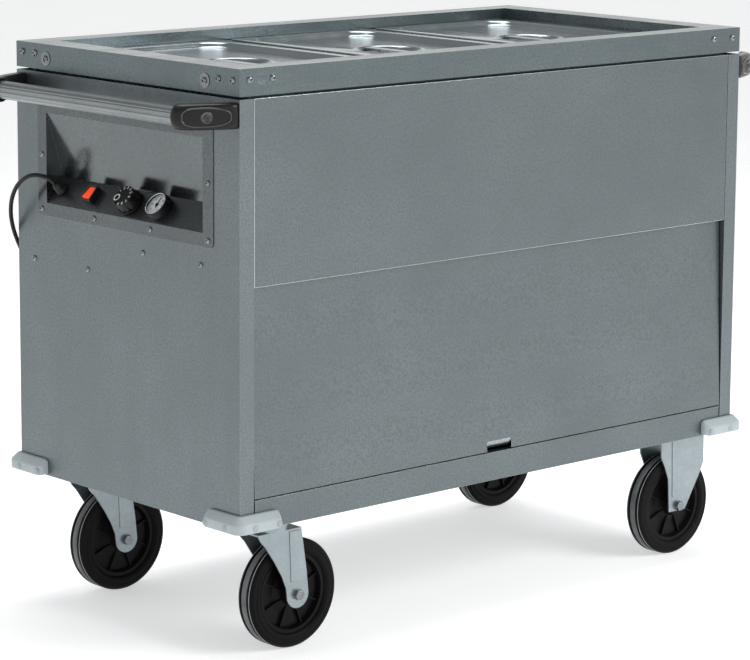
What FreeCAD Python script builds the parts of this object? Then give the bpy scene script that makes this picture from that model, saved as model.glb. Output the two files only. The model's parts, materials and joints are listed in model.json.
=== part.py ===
"""Mobile heated serving trolley (steam table unit) as an assembly of separate pieces.

Units are millimetres.  The origin is on the floor, at the centre of the cabinet's
footprint.  +X runs along the long side away from the controls, the flap door faces -Y
and +Z is up.  The push bar, the controls and the swivel casters are at the -X end.
"""
import FreeCAD, Part
import math
import os
import re
import Sketcher

Vector = FreeCAD.Vector
doc = FreeCAD.newDocument("steam_table_unit")
sheet = doc.addObject("Spreadsheet::Sheet", "Dimensions")

# ------------------------------------------------------------------ driving dimensions
DIMENSIONS = {
    # cabinet
    "body_length": 1260, "body_width": 645, "skirt_bottom": 247, "body_top": 998,
    "gauge": 1.5, "post_width": 31, "jamb_depth": 20, "seam": 1, "hem": 10,
    "rail_height": 53, "rail_lip": 18, "front_split": 673, "floor_level": 700, "floor_lip": 14,
    # rim, deck and wells
    "rim_bottom": 1003, "rim_top": 1050, "end_rim": 60, "side_rim": 50, "rim_skirt": 40,
    "skirt_inset_x": 33, "skirt_inset_y": 22,
    "deck_level": 1027, "deck_margin": 12, "well_pitch": 372, "collar": 10,
    "tank_margin": 25, "tank_bottom": 808, "jacket_thickness": 20, "jacket_top": 1022,
    # gastronorm pans and their lids
    "pan_width": 325, "pan_length": 530, "pan_flange": 10, "pan_depth": 150, "pan_corner": 22,
    "well_clearance": 2, "lid_width": 348, "lid_length": 536, "lid_hem": 2.7, "lid_step": 10,
    "lid_border": 26, "lid_corner": 14, "step_corner": 45,
    "grip_top": 61, "grip_bottom": 50, "grip_depth": 20,
    "grip_bar_width": 22, "grip_bar_thickness": 5,
    # heating element
    "rod_radius": 4.25, "rod_level": 836, "rod_reach": 480, "rod_spacing": 100, "rod_hole": 4.6,
    "terminal_depth": 20, "terminal_length": 350, "terminal_height": 40, "terminal_bite": 12,
    # flap door
    "door_width": 1194, "door_drop": 364, "door_rise": 20, "door_sheet": 1.2, "door_depth": 12,
    "door_face": 5, "hinge_inset": 17, "hinge_level": 666, "door_lean": 12, "hinge_pin": 3,
    "pin_head": 6, "notch_width": 63, "notch_height": 19, "notch_offset": -9.5,
    # control recess
    "recess_left": 231, "recess_right": 224, "recess_bottom": 760, "recess_fold": 804,
    "recess_top": 925, "recess_depth": 37, "flange_left": 257, "flange_right": 252,
    "flange_bottom": 736, "flange_top": 950, "flange_corner": 8, "flange_overlap": 18,
    # controls
    "gland_place": 207, "rocker_place": 114, "knob_place": 0, "dial_place": -86,
    "bezel_width": 25, "bezel_length": 33, "bezel_height": 13, "rocker_width": 18,
    "rocker_length": 25, "switch_depth": 28, "trunnion": 1.5, "knob_radius": 25, "knob_height": 24,
    "knob_gap": 2, "spindle_radius": 3, "thermostat_size": 40, "thermostat_depth": 34,
    "dial_radius": 24.5, "dial_height": 20, "dial_neck": 20, "dial_depth": 22,
    "gland_radius": 12, "gland_height": 24,
    # push bars
    "bar_level": 970.5, "bar_reach": 78, "bar_half": 266, "bar_radius": 16.5, "bar_wall": 2,
    "bracket_height": 45, "bracket_socket": 8,
    # casters
    "wheel_radius": 100, "wheel_width": 40, "wheel_inset": 72.5, "swivel_wheel": -463,
    "rigid_wheel": 530, "trail": 45, "leg_gap": 27, "leg_thickness": 3, "hub_half": 26.7,
    "hub_radius": 25, "sleeve_radius": 10, "bolt_radius": 6, "fit": 0.05, "tyre_seat": 74,
    "plate_thickness": 5, "plate_length": 110, "plate_width": 88, "cover_radius": 40,
    "cover_height": 8, "race_radius": 36, "crown_level": 222, "crown_thickness": 3,
    "axial_play": 0.3, "nut_radius": 10, "nut_height": 8, "tread_groove": 2.5, "shoulder": 9,
    "bolt_head": 7.5,
    # bumpers
    "bumper_bottom": 248, "bumper_height": 30, "bumper_reach": 20, "bumper_leg": 85,
    "bumper_cut": 12, "bumper_slope": 6,
    # mains lead
    "cord_diameter": 8, "coil_radius": 48, "coil_section": 12, "coil_x": -510, "coil_level": 545,
    "coil_y": 337, "hook_radius": 5, "hook_reach": 20, "hook_plate": 2,
    "plug_radius": 17, "plug_length": 42, "plug_tail": 22,
}
for row, (alias, number) in enumerate(DIMENSIONS.items(), start=1):
    sheet.set(f"A{row}", alias)
    sheet.set(f"B{row}", str(number))
    sheet.setAlias(f"B{row}", alias)
doc.recompute()

ALIASES = re.compile(r"\b(" + "|".join(sorted(DIMENSIONS, key=len, reverse=True)) + r")\b")


def formula(text):
    """The expression for a size written with the sheet's aliases."""
    return ALIASES.sub(r"Dimensions.\1", str(text))


def size(text):
    """The present value of an expression, for shapes that are made in code."""
    return float(sheet.evalExpression(formula(text)))


# ------------------------------------------------------------------ small building blocks
ALONG = {"x": FreeCAD.Rotation(Vector(0, 1, 0), 90),
         "y": FreeCAD.Rotation(Vector(1, 0, 0), -90),
         "z": FreeCAD.Rotation()}
NODES = []


def bind(item, **expressions):
    for name, text in expressions.items():
        item.setExpression(name, formula(text))


def place(item, at, rotation=None):
    """Put an object at a point given by three expressions."""
    if rotation:
        item.Placement = FreeCAD.Placement(Vector(), rotation)
    for axis, text in zip("xyz", at):
        item.setExpression(f".Placement.Base.{axis}", formula(text))
    return item


def box(sizes, at):
    item = doc.addObject("Part::Box", "Box")
    bind(item, Length=sizes[0], Width=sizes[1], Height=sizes[2])
    return place(item, at)


def cylinder(radius, height, at, axis="z"):
    item = doc.addObject("Part::Cylinder", "Cylinder")
    bind(item, Radius=radius, Height=height)
    return place(item, at, ALONG[axis])


def cone(lower, upper, height, at, axis="z"):
    item = doc.addObject("Part::Cone", "Cone")
    bind(item, Radius1=lower, Radius2=upper, Height=height)
    return place(item, at, ALONG[axis])


def hexagon(radius, height, at, axis="z"):
    item = doc.addObject("Part::Prism", "Hexagon")
    item.Polygon = 6
    bind(item, Circumradius=radius, Height=height)
    return place(item, at, ALONG[axis])


def fuse(*items):
    item = doc.addObject("Part::MultiFuse", "Joined")
    item.Shapes = list(items)
    item.Refine = True
    return item


def cut(base, *tools):
    item = doc.addObject("Part::Cut", "Trimmed")
    item.Base = base
    item.Tool = tools[0] if len(tools) == 1 else fuse(*tools)
    return item


def group(*items):
    item = doc.addObject("Part::Compound", "Group")
    item.Links = list(items)
    return item


def coded(shape):
    item = doc.addObject("Part::Feature", "Coded")
    item.Shape = shape
    return item


def node(label, item):
    item.Label = label
    NODES.append(item)
    return item


def body_with_sketch(role, points):
    """A body with one closed straight-sided sketch on an origin plane, all sizes bound."""
    body = doc.addObject("PartDesign::Body", "Body")
    sketch = body.newObject("Sketcher::SketchObject", "Outline")
    plane = next(f for f in body.Origin.OriginFeatures if f.Role == role)
    sketch.AttachmentSupport = (plane, [""])
    sketch.MapMode = "FlatFace"
    corners = [Vector(size(u), size(v), 0) for u, v in points]
    count = len(corners)
    for i in range(count):
        sketch.addGeometry(Part.LineSegment(corners[i], corners[(i + 1) % count]), False)
    for i in range(count):
        sketch.addConstraint(Sketcher.Constraint("Coincident", i, 2, (i + 1) % count, 1))
    for i, pair in enumerate(points):
        for kind, text in zip(("DistanceX", "DistanceY"), pair):
            mark = sketch.addConstraint(Sketcher.Constraint(kind, -1, 1, i, 1, size(text)))
            sketch.setExpression(f"Constraints[{mark}]", formula(text))
    return body, sketch


PLANES = {"x": "YZ_Plane", "y": "XZ_Plane", "z": "XY_Plane"}


def prism(axis, outline, depth, at=("0", "0", "0"), rotation=None):
    """A straight-sided outline padded in the + direction of an axis."""
    body, sketch = body_with_sketch(PLANES[axis], outline)
    pad = body.newObject("PartDesign::Pad", "Pad")
    pad.Profile = sketch
    pad.Reversed = axis == "y"
    pad.setExpression("Length", formula(depth))
    return place(body, at, rotation)


def side_edges(shape, axis):
    """Names of the straight edges that run along an axis."""
    wanted = {"x": Vector(1, 0, 0), "y": Vector(0, 1, 0), "z": Vector(0, 0, 1)}[axis]
    names = []
    for number, edge in enumerate(shape.Edges, start=1):
        run = edge.Vertexes[-1].Point - edge.Vertexes[0].Point
        if run.Length > 0 and abs(abs(run.normalize() * wanted) - 1) < 1e-6:
            names.append(f"Edge{number}")
    return names


def soften(body, edges, radius, kind="Fillet"):
    """Round or chamfer edges of a body's last feature."""
    base = body.Tip
    finish = body.newObject(f"PartDesign::{kind}", kind)
    finish.Base = (base, edges)
    finish.setExpression("Radius" if kind == "Fillet" else "Size", formula(radius))
    body.Tip = finish
    doc.recompute()
    return body


def rounded_block(axis, spans, at, radius):
    """A block with a corner at a point and its four edges along one axis rounded."""
    u, v = [text for letter, text in zip("xyz", spans) if letter != axis]
    outline = [("0", "0"), (u, "0"), (u, v), ("0", v)]
    body = prism(axis, outline, spans["xyz".index(axis)], at)
    doc.recompute()
    return soften(body, side_edges(body.Tip.Shape, axis), radius)


def turned(profile, at=("0", "0", "0"), rotation=None):
    """A solid of revolution about its own Z, from (radius, height) corners."""
    body, sketch = body_with_sketch("XZ_Plane", profile)
    turn = body.newObject("PartDesign::Revolution", "Turn")
    turn.Profile = sketch
    turn.ReferenceAxis = (sketch, ["V_Axis"])
    turn.Angle = 360
    return place(body, at, rotation)


def rounded_wire(points, radii):
    """Straight runs joined by tangent arcs, one radius for each inner point."""
    edges = []
    start = points[0]
    for before, corner, after, radius in zip(points, points[1:], points[2:], radii):
        back = (before - corner).normalize()
        ahead = (after - corner).normalize()
        half_turn = (math.pi - back.getAngle(ahead)) / 2
        reach = radius * math.tan(half_turn)
        first = corner + back * reach
        last = corner + ahead * reach
        inward = (back + ahead).normalize()
        middle = corner + inward * (radius / math.cos(half_turn) - radius)
        edges.append(Part.LineSegment(start, first).toShape())
        edges.append(Part.Arc(first, middle, last).toShape())
        start = last
    edges.append(Part.LineSegment(start, points[-1]).toShape())
    return Part.Wire(edges)


def rod(wire, radius):
    """A round bar along a smooth wire."""
    first = wire.Edges[0]
    ring = Part.Wire(Part.makeCircle(radius, first.valueAt(first.FirstParameter),
                                     first.tangentAt(first.FirstParameter)))
    return wire.makePipeShell([ring], True, False)


# ------------------------------------------------------------------ fasteners
END_OUT = {-1: FreeCAD.Rotation(Vector(0, 1, 0), -90), 1: FreeCAD.Rotation(Vector(0, 1, 0), 90)}
FRONT_OUT = FreeCAD.Rotation(Vector(1, 0, 0), 90)


def dome_screw(head_radius, head_height, shank_radius, shank_length):
    """A domed screw with a hexagon socket; its head sits on z = 0 and faces +Z."""
    rise = head_height * 0.3
    top = Vector(0, 0, head_height)
    side = Vector(head_radius, 0, rise)
    shoulder = Vector(head_radius * 0.72, 0, rise + (head_height - rise) * 0.74)
    corners = [Vector(0, 0, -shank_length), Vector(shank_radius, 0, -shank_length),
               Vector(shank_radius, 0, 0), Vector(head_radius, 0, 0), side]
    edges = [Part.LineSegment(a, b).toShape() for a, b in zip(corners, corners[1:])]
    edges.append(Part.Arc(side, shoulder, top).toShape())
    edges.append(Part.LineSegment(top, corners[0]).toShape())
    solid = Part.Face(Part.Wire(edges)).revolve(Vector(), Vector(0, 0, 1), 360)
    socket_radius = head_radius * 0.36
    socket = [Vector(socket_radius * math.cos(k * math.pi / 3),
                     socket_radius * math.sin(k * math.pi / 3), head_height * 0.45)
              for k in range(7)]
    return solid.cut(Part.Face(Part.makePolygon(socket)).extrude(Vector(0, 0, head_height)))


def placed(shape, at, rotation):
    copy = shape.copy()
    copy.Placement = FreeCAD.Placement(at, rotation)
    return copy


HALF_LENGTH = size("body_length / 2")
HALF_WIDTH = size("body_width / 2")
PROUD = size("gauge")           # the control flange stands this far out of the end panel
SCREW_SHANK = 8
SMALL_SHANK_RADIUS = 2.4
LARGE_SHANK_RADIUS = 2.9

RIM_SCREW_LEVEL = 1031
rim_screws = [(Vector(x, -HALF_WIDTH, RIM_SCREW_LEVEL), FRONT_OUT)
              for x in (-608, -557, 556, 609)]
rim_screws += [(Vector(end * HALF_LENGTH, y, level), END_OUT[end])
               for end in (-1, 1)
               for y, level in ((303, 1032), (265, 1032), (-265, 1030), (-303, 1030))]
WASHER_RADIUS = 13
WASHER_THICKNESS = 1.2
washer_screws = [(Vector(end * HALF_LENGTH, y, 1023.5), END_OUT[end])
                 for end in (-1, 1) for y in (231, -229)]
flange_screws = [(Vector(-HALF_LENGTH - PROUD, y, level), END_OUT[-1])
                 for y, level in ((244, 848), (246, 748), (-238, 848), (-238, 748),
                                  (87, 748), (-76, 748))]
panel_screws = [(Vector(-HALF_LENGTH, y, level), END_OUT[-1])
                for y, level in ((273, 652), (110, 652), (-53, 703), (-216, 703))]


def drills(places, radius, depth=SCREW_SHANK):
    """Clearance holes for a list of screws."""
    drill = Part.makeCylinder(radius, depth * 2, Vector(0, 0, -depth))
    return coded(Part.makeCompound([placed(drill, at, turn) for at, turn in places]))


def make_screws():
    small = dome_screw(5.5, 3.2, SMALL_SHANK_RADIUS, SCREW_SHANK)
    large = dome_screw(6.5, 3.8, LARGE_SHANK_RADIUS, SCREW_SHANK)
    ring = Part.makeCylinder(WASHER_RADIUS, WASHER_THICKNESS)
    ring = ring.cut(Part.makeCylinder(LARGE_SHANK_RADIUS + 0.1, WASHER_THICKNESS))
    out_by = [(at + turn.multVec(Vector(0, 0, WASHER_THICKNESS)), turn)
              for at, turn in washer_screws]
    node("small_dome_screws", coded(Part.makeCompound(
        [placed(small, at, turn) for at, turn in flange_screws + panel_screws])))
    node("rim_dome_screws", coded(Part.makeCompound(
        [placed(large, at, turn) for at, turn in rim_screws + out_by]
        + [placed(ring, at, turn) for at, turn in washer_screws])))


# ------------------------------------------------------------------ cabinet shell
def make_base_tray():
    """Folded bottom tray whose long sides are the rails under the doorway."""
    rail = "body_length - 2 * post_width - 2 * seam"
    rail_x = "-body_length / 2 + post_width + seam"
    inner = box(("body_length - 2 * gauge", "body_width - 2 * gauge", "rail_height"),
                ("-body_length / 2 + gauge", "-body_width / 2 + gauge", "skirt_bottom"))
    rails = box((rail, "body_width", "rail_height"), (rail_x, "-body_width / 2", "skirt_bottom"))
    hollow = box(("body_length - 4 * gauge", "body_width - 4 * gauge", "rail_height"),
                 ("-body_length / 2 + 2 * gauge", "-body_width / 2 + 2 * gauge",
                  "skirt_bottom + gauge"))
    rail_hollow = box((rail + " - 2 * gauge", "body_width - 2 * gauge", "rail_height"),
                      (rail_x + " + gauge", "-body_width / 2 + gauge", "skirt_bottom + gauge"))
    jambs = [box(("gauge * 2 + post_width", "jamb_depth + gauge", "rail_height"),
                 (x, y, "skirt_bottom + gauge"))
             for x in ("-body_length / 2", "body_length / 2 - post_width - 2 * gauge")
             for y in ("-body_width / 2", "body_width / 2 - jamb_depth - gauge")]
    lips = [box((rail, "rail_lip", "gauge"), (rail_x, y, "skirt_bottom + rail_height - gauge"))
            for y in ("-body_width / 2", "body_width / 2 - rail_lip")]
    shell = fuse(cut(fuse(inner, rails), hollow, rail_hollow, *jambs), *lips)
    holes = [cylinder("4.2", "gauge * 4", (x, y, "skirt_bottom - gauge"))
             for x, y in caster_bolt_places()]
    return node("base_tray", cut(shell, *holes))


def end_panel(side):
    """An end sheet with its folded corner posts and their jambs."""
    height = "body_top - skirt_bottom"
    sheet_x = "-body_length / 2" if side < 0 else "body_length / 2 - gauge"
    post_x = "-body_length / 2" if side < 0 else "body_length / 2 - post_width"
    jamb_x = ("-body_length / 2 + post_width - gauge" if side < 0
              else "body_length / 2 - post_width")
    walls = [box(("gauge", "body_width", height), (sheet_x, "-body_width / 2", "skirt_bottom"))]
    for post_y, jamb_y in (("-body_width / 2", "-body_width / 2"),
                           ("body_width / 2 - gauge", "body_width / 2 - jamb_depth")):
        walls.append(box(("post_width", "gauge", height), (post_x, post_y, "skirt_bottom")))
        walls.append(box(("gauge", "jamb_depth", height + " - gauge"),
                         (jamb_x, jamb_y, "skirt_bottom + gauge")))
    return fuse(*walls)


def make_control_end_panel():
    window = box(("gauge * 4", "recess_left + recess_right + 2 * flange_overlap - 20",
                  "flange_top - flange_bottom - 2 * flange_overlap + 12"),
                 ("-body_length / 2 - gauge", "-recess_right - flange_overlap + 10",
                  "flange_bottom + flange_overlap - 6"))
    screws = drills(flange_screws + panel_screws, SMALL_SHANK_RADIUS + 0.1)
    pins = cylinder("hinge_pin + fit", "gauge * 4",
                    ("-body_length / 2 + post_width - 3 * gauge",
                     "-body_width / 2 + hinge_inset", "hinge_level"), "x")
    return node("control_end_panel", cut(end_panel(-1), window, screws, pins))


def make_plain_end_panel():
    pins = cylinder("hinge_pin + fit", "gauge * 4",
                    ("body_length / 2 - post_width - gauge",
                     "-body_width / 2 + hinge_inset", "hinge_level"), "x")
    return node("plain_end_panel", cut(end_panel(1), pins))


def make_long_panel(label, side, bottom):
    """A flat sheet between the corner posts with hemmed top and bottom edges."""
    width = "body_length - 2 * post_width - 2 * seam"
    x = "-body_length / 2 + post_width + seam"
    sheet_y = "-body_width / 2" if side < 0 else "body_width / 2 - gauge"
    walls = [box((width, "gauge", f"body_top - {bottom}"), (x, sheet_y, bottom))]
    for level, depth in ((bottom, "hem / 2"), ("body_top - gauge", "hem * 2")):
        y = "-body_width / 2" if side < 0 else f"body_width / 2 - {depth}"
        walls.append(box((width, depth, "gauge"), (x, y, level)))
    return node(label, fuse(*walls))


def make_compartment_floor():
    """The tray that closes the heated compartment off from the cupboard below."""
    length = "body_length - 2 * gauge"
    depth = "body_width - 2 * jamb_depth - 8 * gauge"
    at = ("-body_length / 2 + gauge", "-body_width / 2 + jamb_depth + 4 * gauge", "floor_level")
    outer = box((length, depth, "floor_lip"), at)
    hollow = box((length + " - 2 * gauge", depth + " - 2 * gauge", "floor_lip"),
                 ("-body_length / 2 + 2 * gauge",
                  "-body_width / 2 + jamb_depth + 5 * gauge", "floor_level + gauge"))
    screws = drills(panel_screws, SMALL_SHANK_RADIUS + 0.1)
    return node("compartment_floor", cut(outer, hollow, screws))


# ------------------------------------------------------------------ rim, deck and wells
def make_rim_frame():
    """Raised folded frame with a flat top, an inner wall and a skirt inside the panels."""
    opening_x = "body_length - 2 * end_rim"
    opening_y = "body_width - 2 * side_rim"
    outer = box(("body_length", "body_width", "rim_top - rim_bottom"),
                ("-body_length / 2", "-body_width / 2", "rim_bottom"))
    hollow = box(("body_length - 2 * gauge", "body_width - 2 * gauge",
                  "rim_top - rim_bottom - 2 * gauge"),
                 ("-body_length / 2 + gauge", "-body_width / 2 + gauge", "rim_bottom + gauge"))
    core_outer = box((opening_x + " + 2 * gauge", opening_y + " + 2 * gauge",
                      "rim_top - deck_level"),
                     ("-body_length / 2 + end_rim - gauge", "-body_width / 2 + side_rim - gauge",
                      "deck_level"))
    core = box((opening_x, opening_y, "rim_top - rim_bottom + 2 * gauge"),
               ("-body_length / 2 + end_rim", "-body_width / 2 + side_rim",
                "rim_bottom - gauge"))
    skirt_x = "body_length / 2 - skirt_inset_x"
    skirt_y = "body_width / 2 - skirt_inset_y"
    skirt = box((f"2 * ({skirt_x})", f"2 * ({skirt_y})", "rim_skirt"),
                (f"-({skirt_x})", f"-({skirt_y})", "rim_bottom + gauge - rim_skirt"))
    skirt_open = box((f"2 * ({skirt_x} - gauge)", f"2 * ({skirt_y} - gauge)",
                      "rim_skirt + 2 * gauge"),
                     (f"-({skirt_x} - gauge)", f"-({skirt_y} - gauge)",
                      "rim_bottom - rim_skirt"))
    frame = cut(fuse(cut(outer, hollow, skirt_open), core_outer), core)
    holes = drills(rim_screws + washer_screws, LARGE_SHANK_RADIUS + 0.1)
    return node("rim_frame", cut(fuse(frame, cut(skirt, skirt_open)), holes))


WELLS = (-1, 0, 1)


def well_centre(well):
    return f"{well} * well_pitch"


def well_block(width, length, bottom, height, well, radius):
    """A rounded block centred on a well."""
    return rounded_block("z", (width, length, height),
                         (f"{well_centre(well)} - ({width}) / 2", f"-({length}) / 2", bottom),
                         radius)


def make_well_deck():
    plate = box(("body_length - 2 * end_rim + 2 * deck_margin",
                 "body_width - 2 * side_rim + 2 * deck_margin", "gauge"),
                ("-body_length / 2 + end_rim - deck_margin",
                 "-body_width / 2 + side_rim - deck_margin", "deck_level - gauge"))
    hole_x = "pan_width - 2 * pan_flange + 2 * well_clearance"
    hole_y = "pan_length - 2 * pan_flange + 2 * well_clearance"
    collars = [well_block(hole_x + " + 2 * gauge", hole_y + " + 2 * gauge",
                          "deck_level - collar", "collar", well, "pan_corner + gauge")
               for well in WELLS]
    holes = [well_block(hole_x, hole_y, "deck_level - 2 * collar", "3 * collar", well,
                        "pan_corner") for well in WELLS]
    return node("well_deck", cut(fuse(plate, *collars), *holes))


TANK_X = "body_length - 2 * end_rim - 2 * tank_margin"
TANK_Y = "body_width - 2 * side_rim - 12"


def element_rows():
    """The four Y places of the heating rods."""
    return [f"{row} * rod_spacing" for row in (-1.5, -0.5, 0.5, 1.5)]


def element_drills(start, length):
    return [cylinder("rod_hole", length, (start, y, "rod_level"), "x") for y in element_rows()]


def make_well_tank():
    outer = box((TANK_X, TANK_Y, "deck_level - gauge - tank_bottom"),
                (f"-({TANK_X}) / 2", f"-({TANK_Y}) / 2", "tank_bottom"))
    flange = box((TANK_X + " + 2 * hem", TANK_Y + " + 2 * hem", "gauge"),
                 (f"-({TANK_X}) / 2 - hem", f"-({TANK_Y}) / 2 - hem", "deck_level - 2 * gauge"))
    hollow = box((TANK_X + " - 2 * gauge", TANK_Y + " - 2 * gauge", "deck_level - tank_bottom"),
                 (f"-({TANK_X}) / 2 + gauge", f"-({TANK_Y}) / 2 + gauge", "tank_bottom + gauge"))
    holes = element_drills(f"-({TANK_X}) / 2 - gauge", "gauge * 4")
    return node("well_tank", cut(fuse(outer, flange), hollow, *holes))


def make_insulation_jacket():
    height = "jacket_top - tank_bottom + jacket_thickness"
    outer = box((TANK_X + " + 2 * jacket_thickness", TANK_Y + " + 2 * jacket_thickness", height),
                (f"-({TANK_X}) / 2 - jacket_thickness", f"-({TANK_Y}) / 2 - jacket_thickness",
                 "tank_bottom - jacket_thickness"))
    hollow = box((TANK_X, TANK_Y, height),
                 (f"-({TANK_X}) / 2", f"-({TANK_Y}) / 2", "tank_bottom"))
    holes = element_drills(f"-({TANK_X}) / 2 - 2 * jacket_thickness", "3 * jacket_thickness")
    return node("insulation_jacket", cut(outer, hollow, *holes))


def make_terminal_box():
    x = f"-({TANK_X}) / 2 - jacket_thickness - terminal_depth"
    block = box(("terminal_depth", "terminal_length", "terminal_height"),
                (x, "-terminal_length / 2", "rod_level - terminal_height / 2"))
    holes = element_drills(f"{x} + terminal_depth - terminal_bite", "terminal_bite * 2")
    return node("terminal_box", cut(block, *holes))


def make_heating_elements():
    """Two hairpin rods that lie along the tank under the pans."""
    start = -size(TANK_X) / 2 - size("jacket_thickness") - size("terminal_bite")
    reach, level = size("rod_reach"), size("rod_level")
    bend = size("rod_spacing") * 0.45
    rows = [size(row) for row in element_rows()]
    pins = []
    for first, last in (rows[:2], rows[2:]):
        points = [Vector(start, first, level), Vector(reach, first, level),
                  Vector(reach, last, level), Vector(start, last, level)]
        pins.append(rod(rounded_wire(points, [bend, bend]), size("rod_radius")))
    return node("heating_elements", coded(Part.makeCompound(pins)))


def make_pan(well):
    body_x = "pan_width - 2 * pan_flange"
    body_y = "pan_length - 2 * pan_flange"
    flange = well_block("pan_width", "pan_length", "deck_level", "gauge", well, "pan_corner / 2")
    basin = well_block(body_x, body_y, "deck_level - pan_depth", "pan_depth", well, "pan_corner")
    hollow = well_block(body_x + " - 2 * gauge", body_y + " - 2 * gauge",
                        "deck_level - pan_depth + gauge", "pan_depth + gauge", well,
                        "pan_corner - gauge")
    return node(f"pan_{well + 2}", cut(fuse(flange, basin), hollow))


LID_LEVEL = "deck_level + gauge"


def make_lid(well):
    """Flat border with a stepped-down centre and a round hand recess."""
    x = well_centre(well)
    step_x = "lid_width - 2 * lid_border"
    step_y = "lid_length - 2 * lid_border"
    floor = f"{LID_LEVEL} - lid_step"
    top = well_block("lid_width", "lid_length", f"{LID_LEVEL} + gauge - lid_hem", "lid_hem",
                     well, "lid_corner")
    under = well_block("lid_width - 2 * gauge", "lid_length - 2 * gauge",
                       f"{LID_LEVEL} - lid_hem", "lid_hem", well, "lid_corner - gauge")
    tray = well_block(step_x + " + 2 * gauge", step_y + " + 2 * gauge", floor,
                      "lid_step + gauge", well, "step_corner + gauge")
    tray_open = well_block(step_x, step_y, floor + " + gauge", "lid_step * 2", well,
                           "step_corner")
    bowl = cone("grip_bottom + gauge", "grip_top + gauge", "grip_depth",
                (x, "0", floor + " - grip_depth + gauge"))
    bowl_open = cone("grip_bottom", "grip_top", "grip_depth",
                     (x, "0", floor + " - grip_depth + 2 * gauge"))
    shell = cut(fuse(cut(top, under), tray, bowl), tray_open, bowl_open)
    return node(f"lid_{well + 2}", shell)


def make_lid_handle(well):
    """A flat bar across the hand recess, with its ends turned down to the wall."""
    x = f"{well_centre(well)} - grip_bar_width / 2"
    floor = f"{LID_LEVEL} - lid_step"
    bowl = cone("grip_bottom", "grip_top", "grip_depth",
                (well_centre(well), "0", floor + " - grip_depth + 2 * gauge"))
    longer = box(("grip_bar_width", "2 * grip_top + 10", "grip_bar_thickness"),
                 (x, "-grip_top - 5", f"{floor} + gauge - grip_bar_thickness"))
    fitted = doc.addObject("Part::MultiCommon", "Fitted")
    fitted.Shapes = [longer, bowl]
    return node(f"lid_handle_{well + 2}", fitted)


# ------------------------------------------------------------------ flap door
DOOR_TILT = -math.degrees(math.asin(size("door_lean") / size("door_drop")))


def make_service_door():
    """Shallow folded flap, drawn about its pivot axis and leaning outwards at the bottom."""
    height = "door_drop + door_rise"
    face = box(("door_width", "door_sheet", height),
               ("-door_width / 2", "-door_face", "-door_drop"))
    returns = [box(("door_sheet", "door_depth", "door_drop + door_rise / 2"),
                   (x, "-door_face", "-door_drop"))
               for x in ("-door_width / 2", "door_width / 2 - door_sheet")]
    foot = box(("door_width", "door_depth", "door_sheet"),
               ("-door_width / 2", "-door_face", "-door_drop"))
    notch = rounded_block("y", ("notch_width", "door_depth * 2", "2 * notch_height"),
                          ("notch_offset - notch_width / 2", "-door_face - door_depth / 2",
                           "-door_drop - notch_height"), "4")
    bores = [cylinder("hinge_pin + fit", "door_sheet * 4", (x, "0", "0"), "x")
             for x in ("-door_width / 2 - door_sheet", "door_width / 2 - 3 * door_sheet")]
    door = cut(fuse(face, foot, *returns), notch, *bores)
    place(door, ("0", "-body_width / 2 + hinge_inset", "hinge_level"),
          FreeCAD.Rotation(Vector(1, 0, 0), DOOR_TILT))
    return node("service_door", door)


def make_door_pivot_pins():
    """Headed pins through the jambs."""
    y, z = "-body_width / 2 + hinge_inset", "hinge_level"
    inner = "body_length / 2 - post_width"
    left = fuse(cylinder("hinge_pin", "14", (f"-({inner}) - gauge - 2", y, z), "x"),
                cylinder("pin_head", "2", (f"-({inner}) - gauge - 2", y, z), "x"))
    right = fuse(cylinder("hinge_pin", "14", (f"{inner} + gauge - 12", y, z), "x"),
                 cylinder("pin_head", "2", (f"{inner} + gauge", y, z), "x"))
    return node("door_pivot_pins", group(left, right))


# ------------------------------------------------------------------ control recess and controls
FOLD_RISE = size("recess_fold - recess_bottom")
FOLD_DEPTH = size("recess_depth")
SLOPE = Vector(FOLD_DEPTH, 0, FOLD_RISE).normalize()
OUTWARD = Vector(-FOLD_RISE, 0, FOLD_DEPTH).normalize()
STRIP_TURN = FreeCAD.Rotation(Vector(0, -1, 0), SLOPE, OUTWARD, "ZXY")
STRIP_LENGTH = Vector(FOLD_DEPTH, 0, FOLD_RISE).Length
STRIP_THICKNESS = 1.0
STRIP_CENTRE_X = "-body_length / 2 + recess_depth / 2"
STRIP_CENTRE_Z = "(recess_bottom + recess_fold) / 2"


def on_strip(item, place_y, proud=STRIP_THICKNESS):
    """Turn an object drawn about Z so that it stands on the sloping control strip."""
    lift = OUTWARD * proud
    return place(item, (f"{STRIP_CENTRE_X} + ({lift.x})", place_y,
                        f"{STRIP_CENTRE_Z} + ({lift.z})"), STRIP_TURN)


def make_control_housing():
    """Screwed-on flange with a triangular recess folded into the end panel."""
    flange = rounded_block("x", ("gauge", "flange_left + flange_right",
                                 "flange_top - flange_bottom"),
                           ("-body_length / 2 - gauge", "-flange_right", "flange_bottom"),
                           "flange_corner")
    wedge = prism("y", [("0", "recess_bottom - 1.6 * gauge"),
                        ("recess_depth + 1.1 * gauge", "recess_fold"),
                        ("0", "recess_top + 3.4 * gauge")],
                  "recess_left + recess_right + 2 * gauge",
                  ("-body_length / 2", "-recess_right - gauge", "0"))
    hollow = prism("y", [("-2 * gauge", "recess_bottom"), ("0", "recess_bottom"),
                         ("recess_depth", "recess_fold"), ("0", "recess_top"),
                         ("-2 * gauge", "recess_top")],
                   "recess_left + recess_right", ("-body_length / 2", "-recess_right", "0"))
    window = doc.addObject("Part::Box", "Window")
    bind(window, Length="recess_left + recess_right - 60", Width="40", Height="12")
    shift = STRIP_TURN.multVec(Vector(0, -20, -6))
    place(window, (f"{STRIP_CENTRE_X} + ({shift.x})", "recess_left - 15",
                   f"{STRIP_CENTRE_Z} + ({shift.z})"), STRIP_TURN)
    screws = drills(flange_screws, SMALL_SHANK_RADIUS + 0.1)
    return node("control_housing", cut(fuse(flange, wedge), hollow, window, screws))


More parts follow.
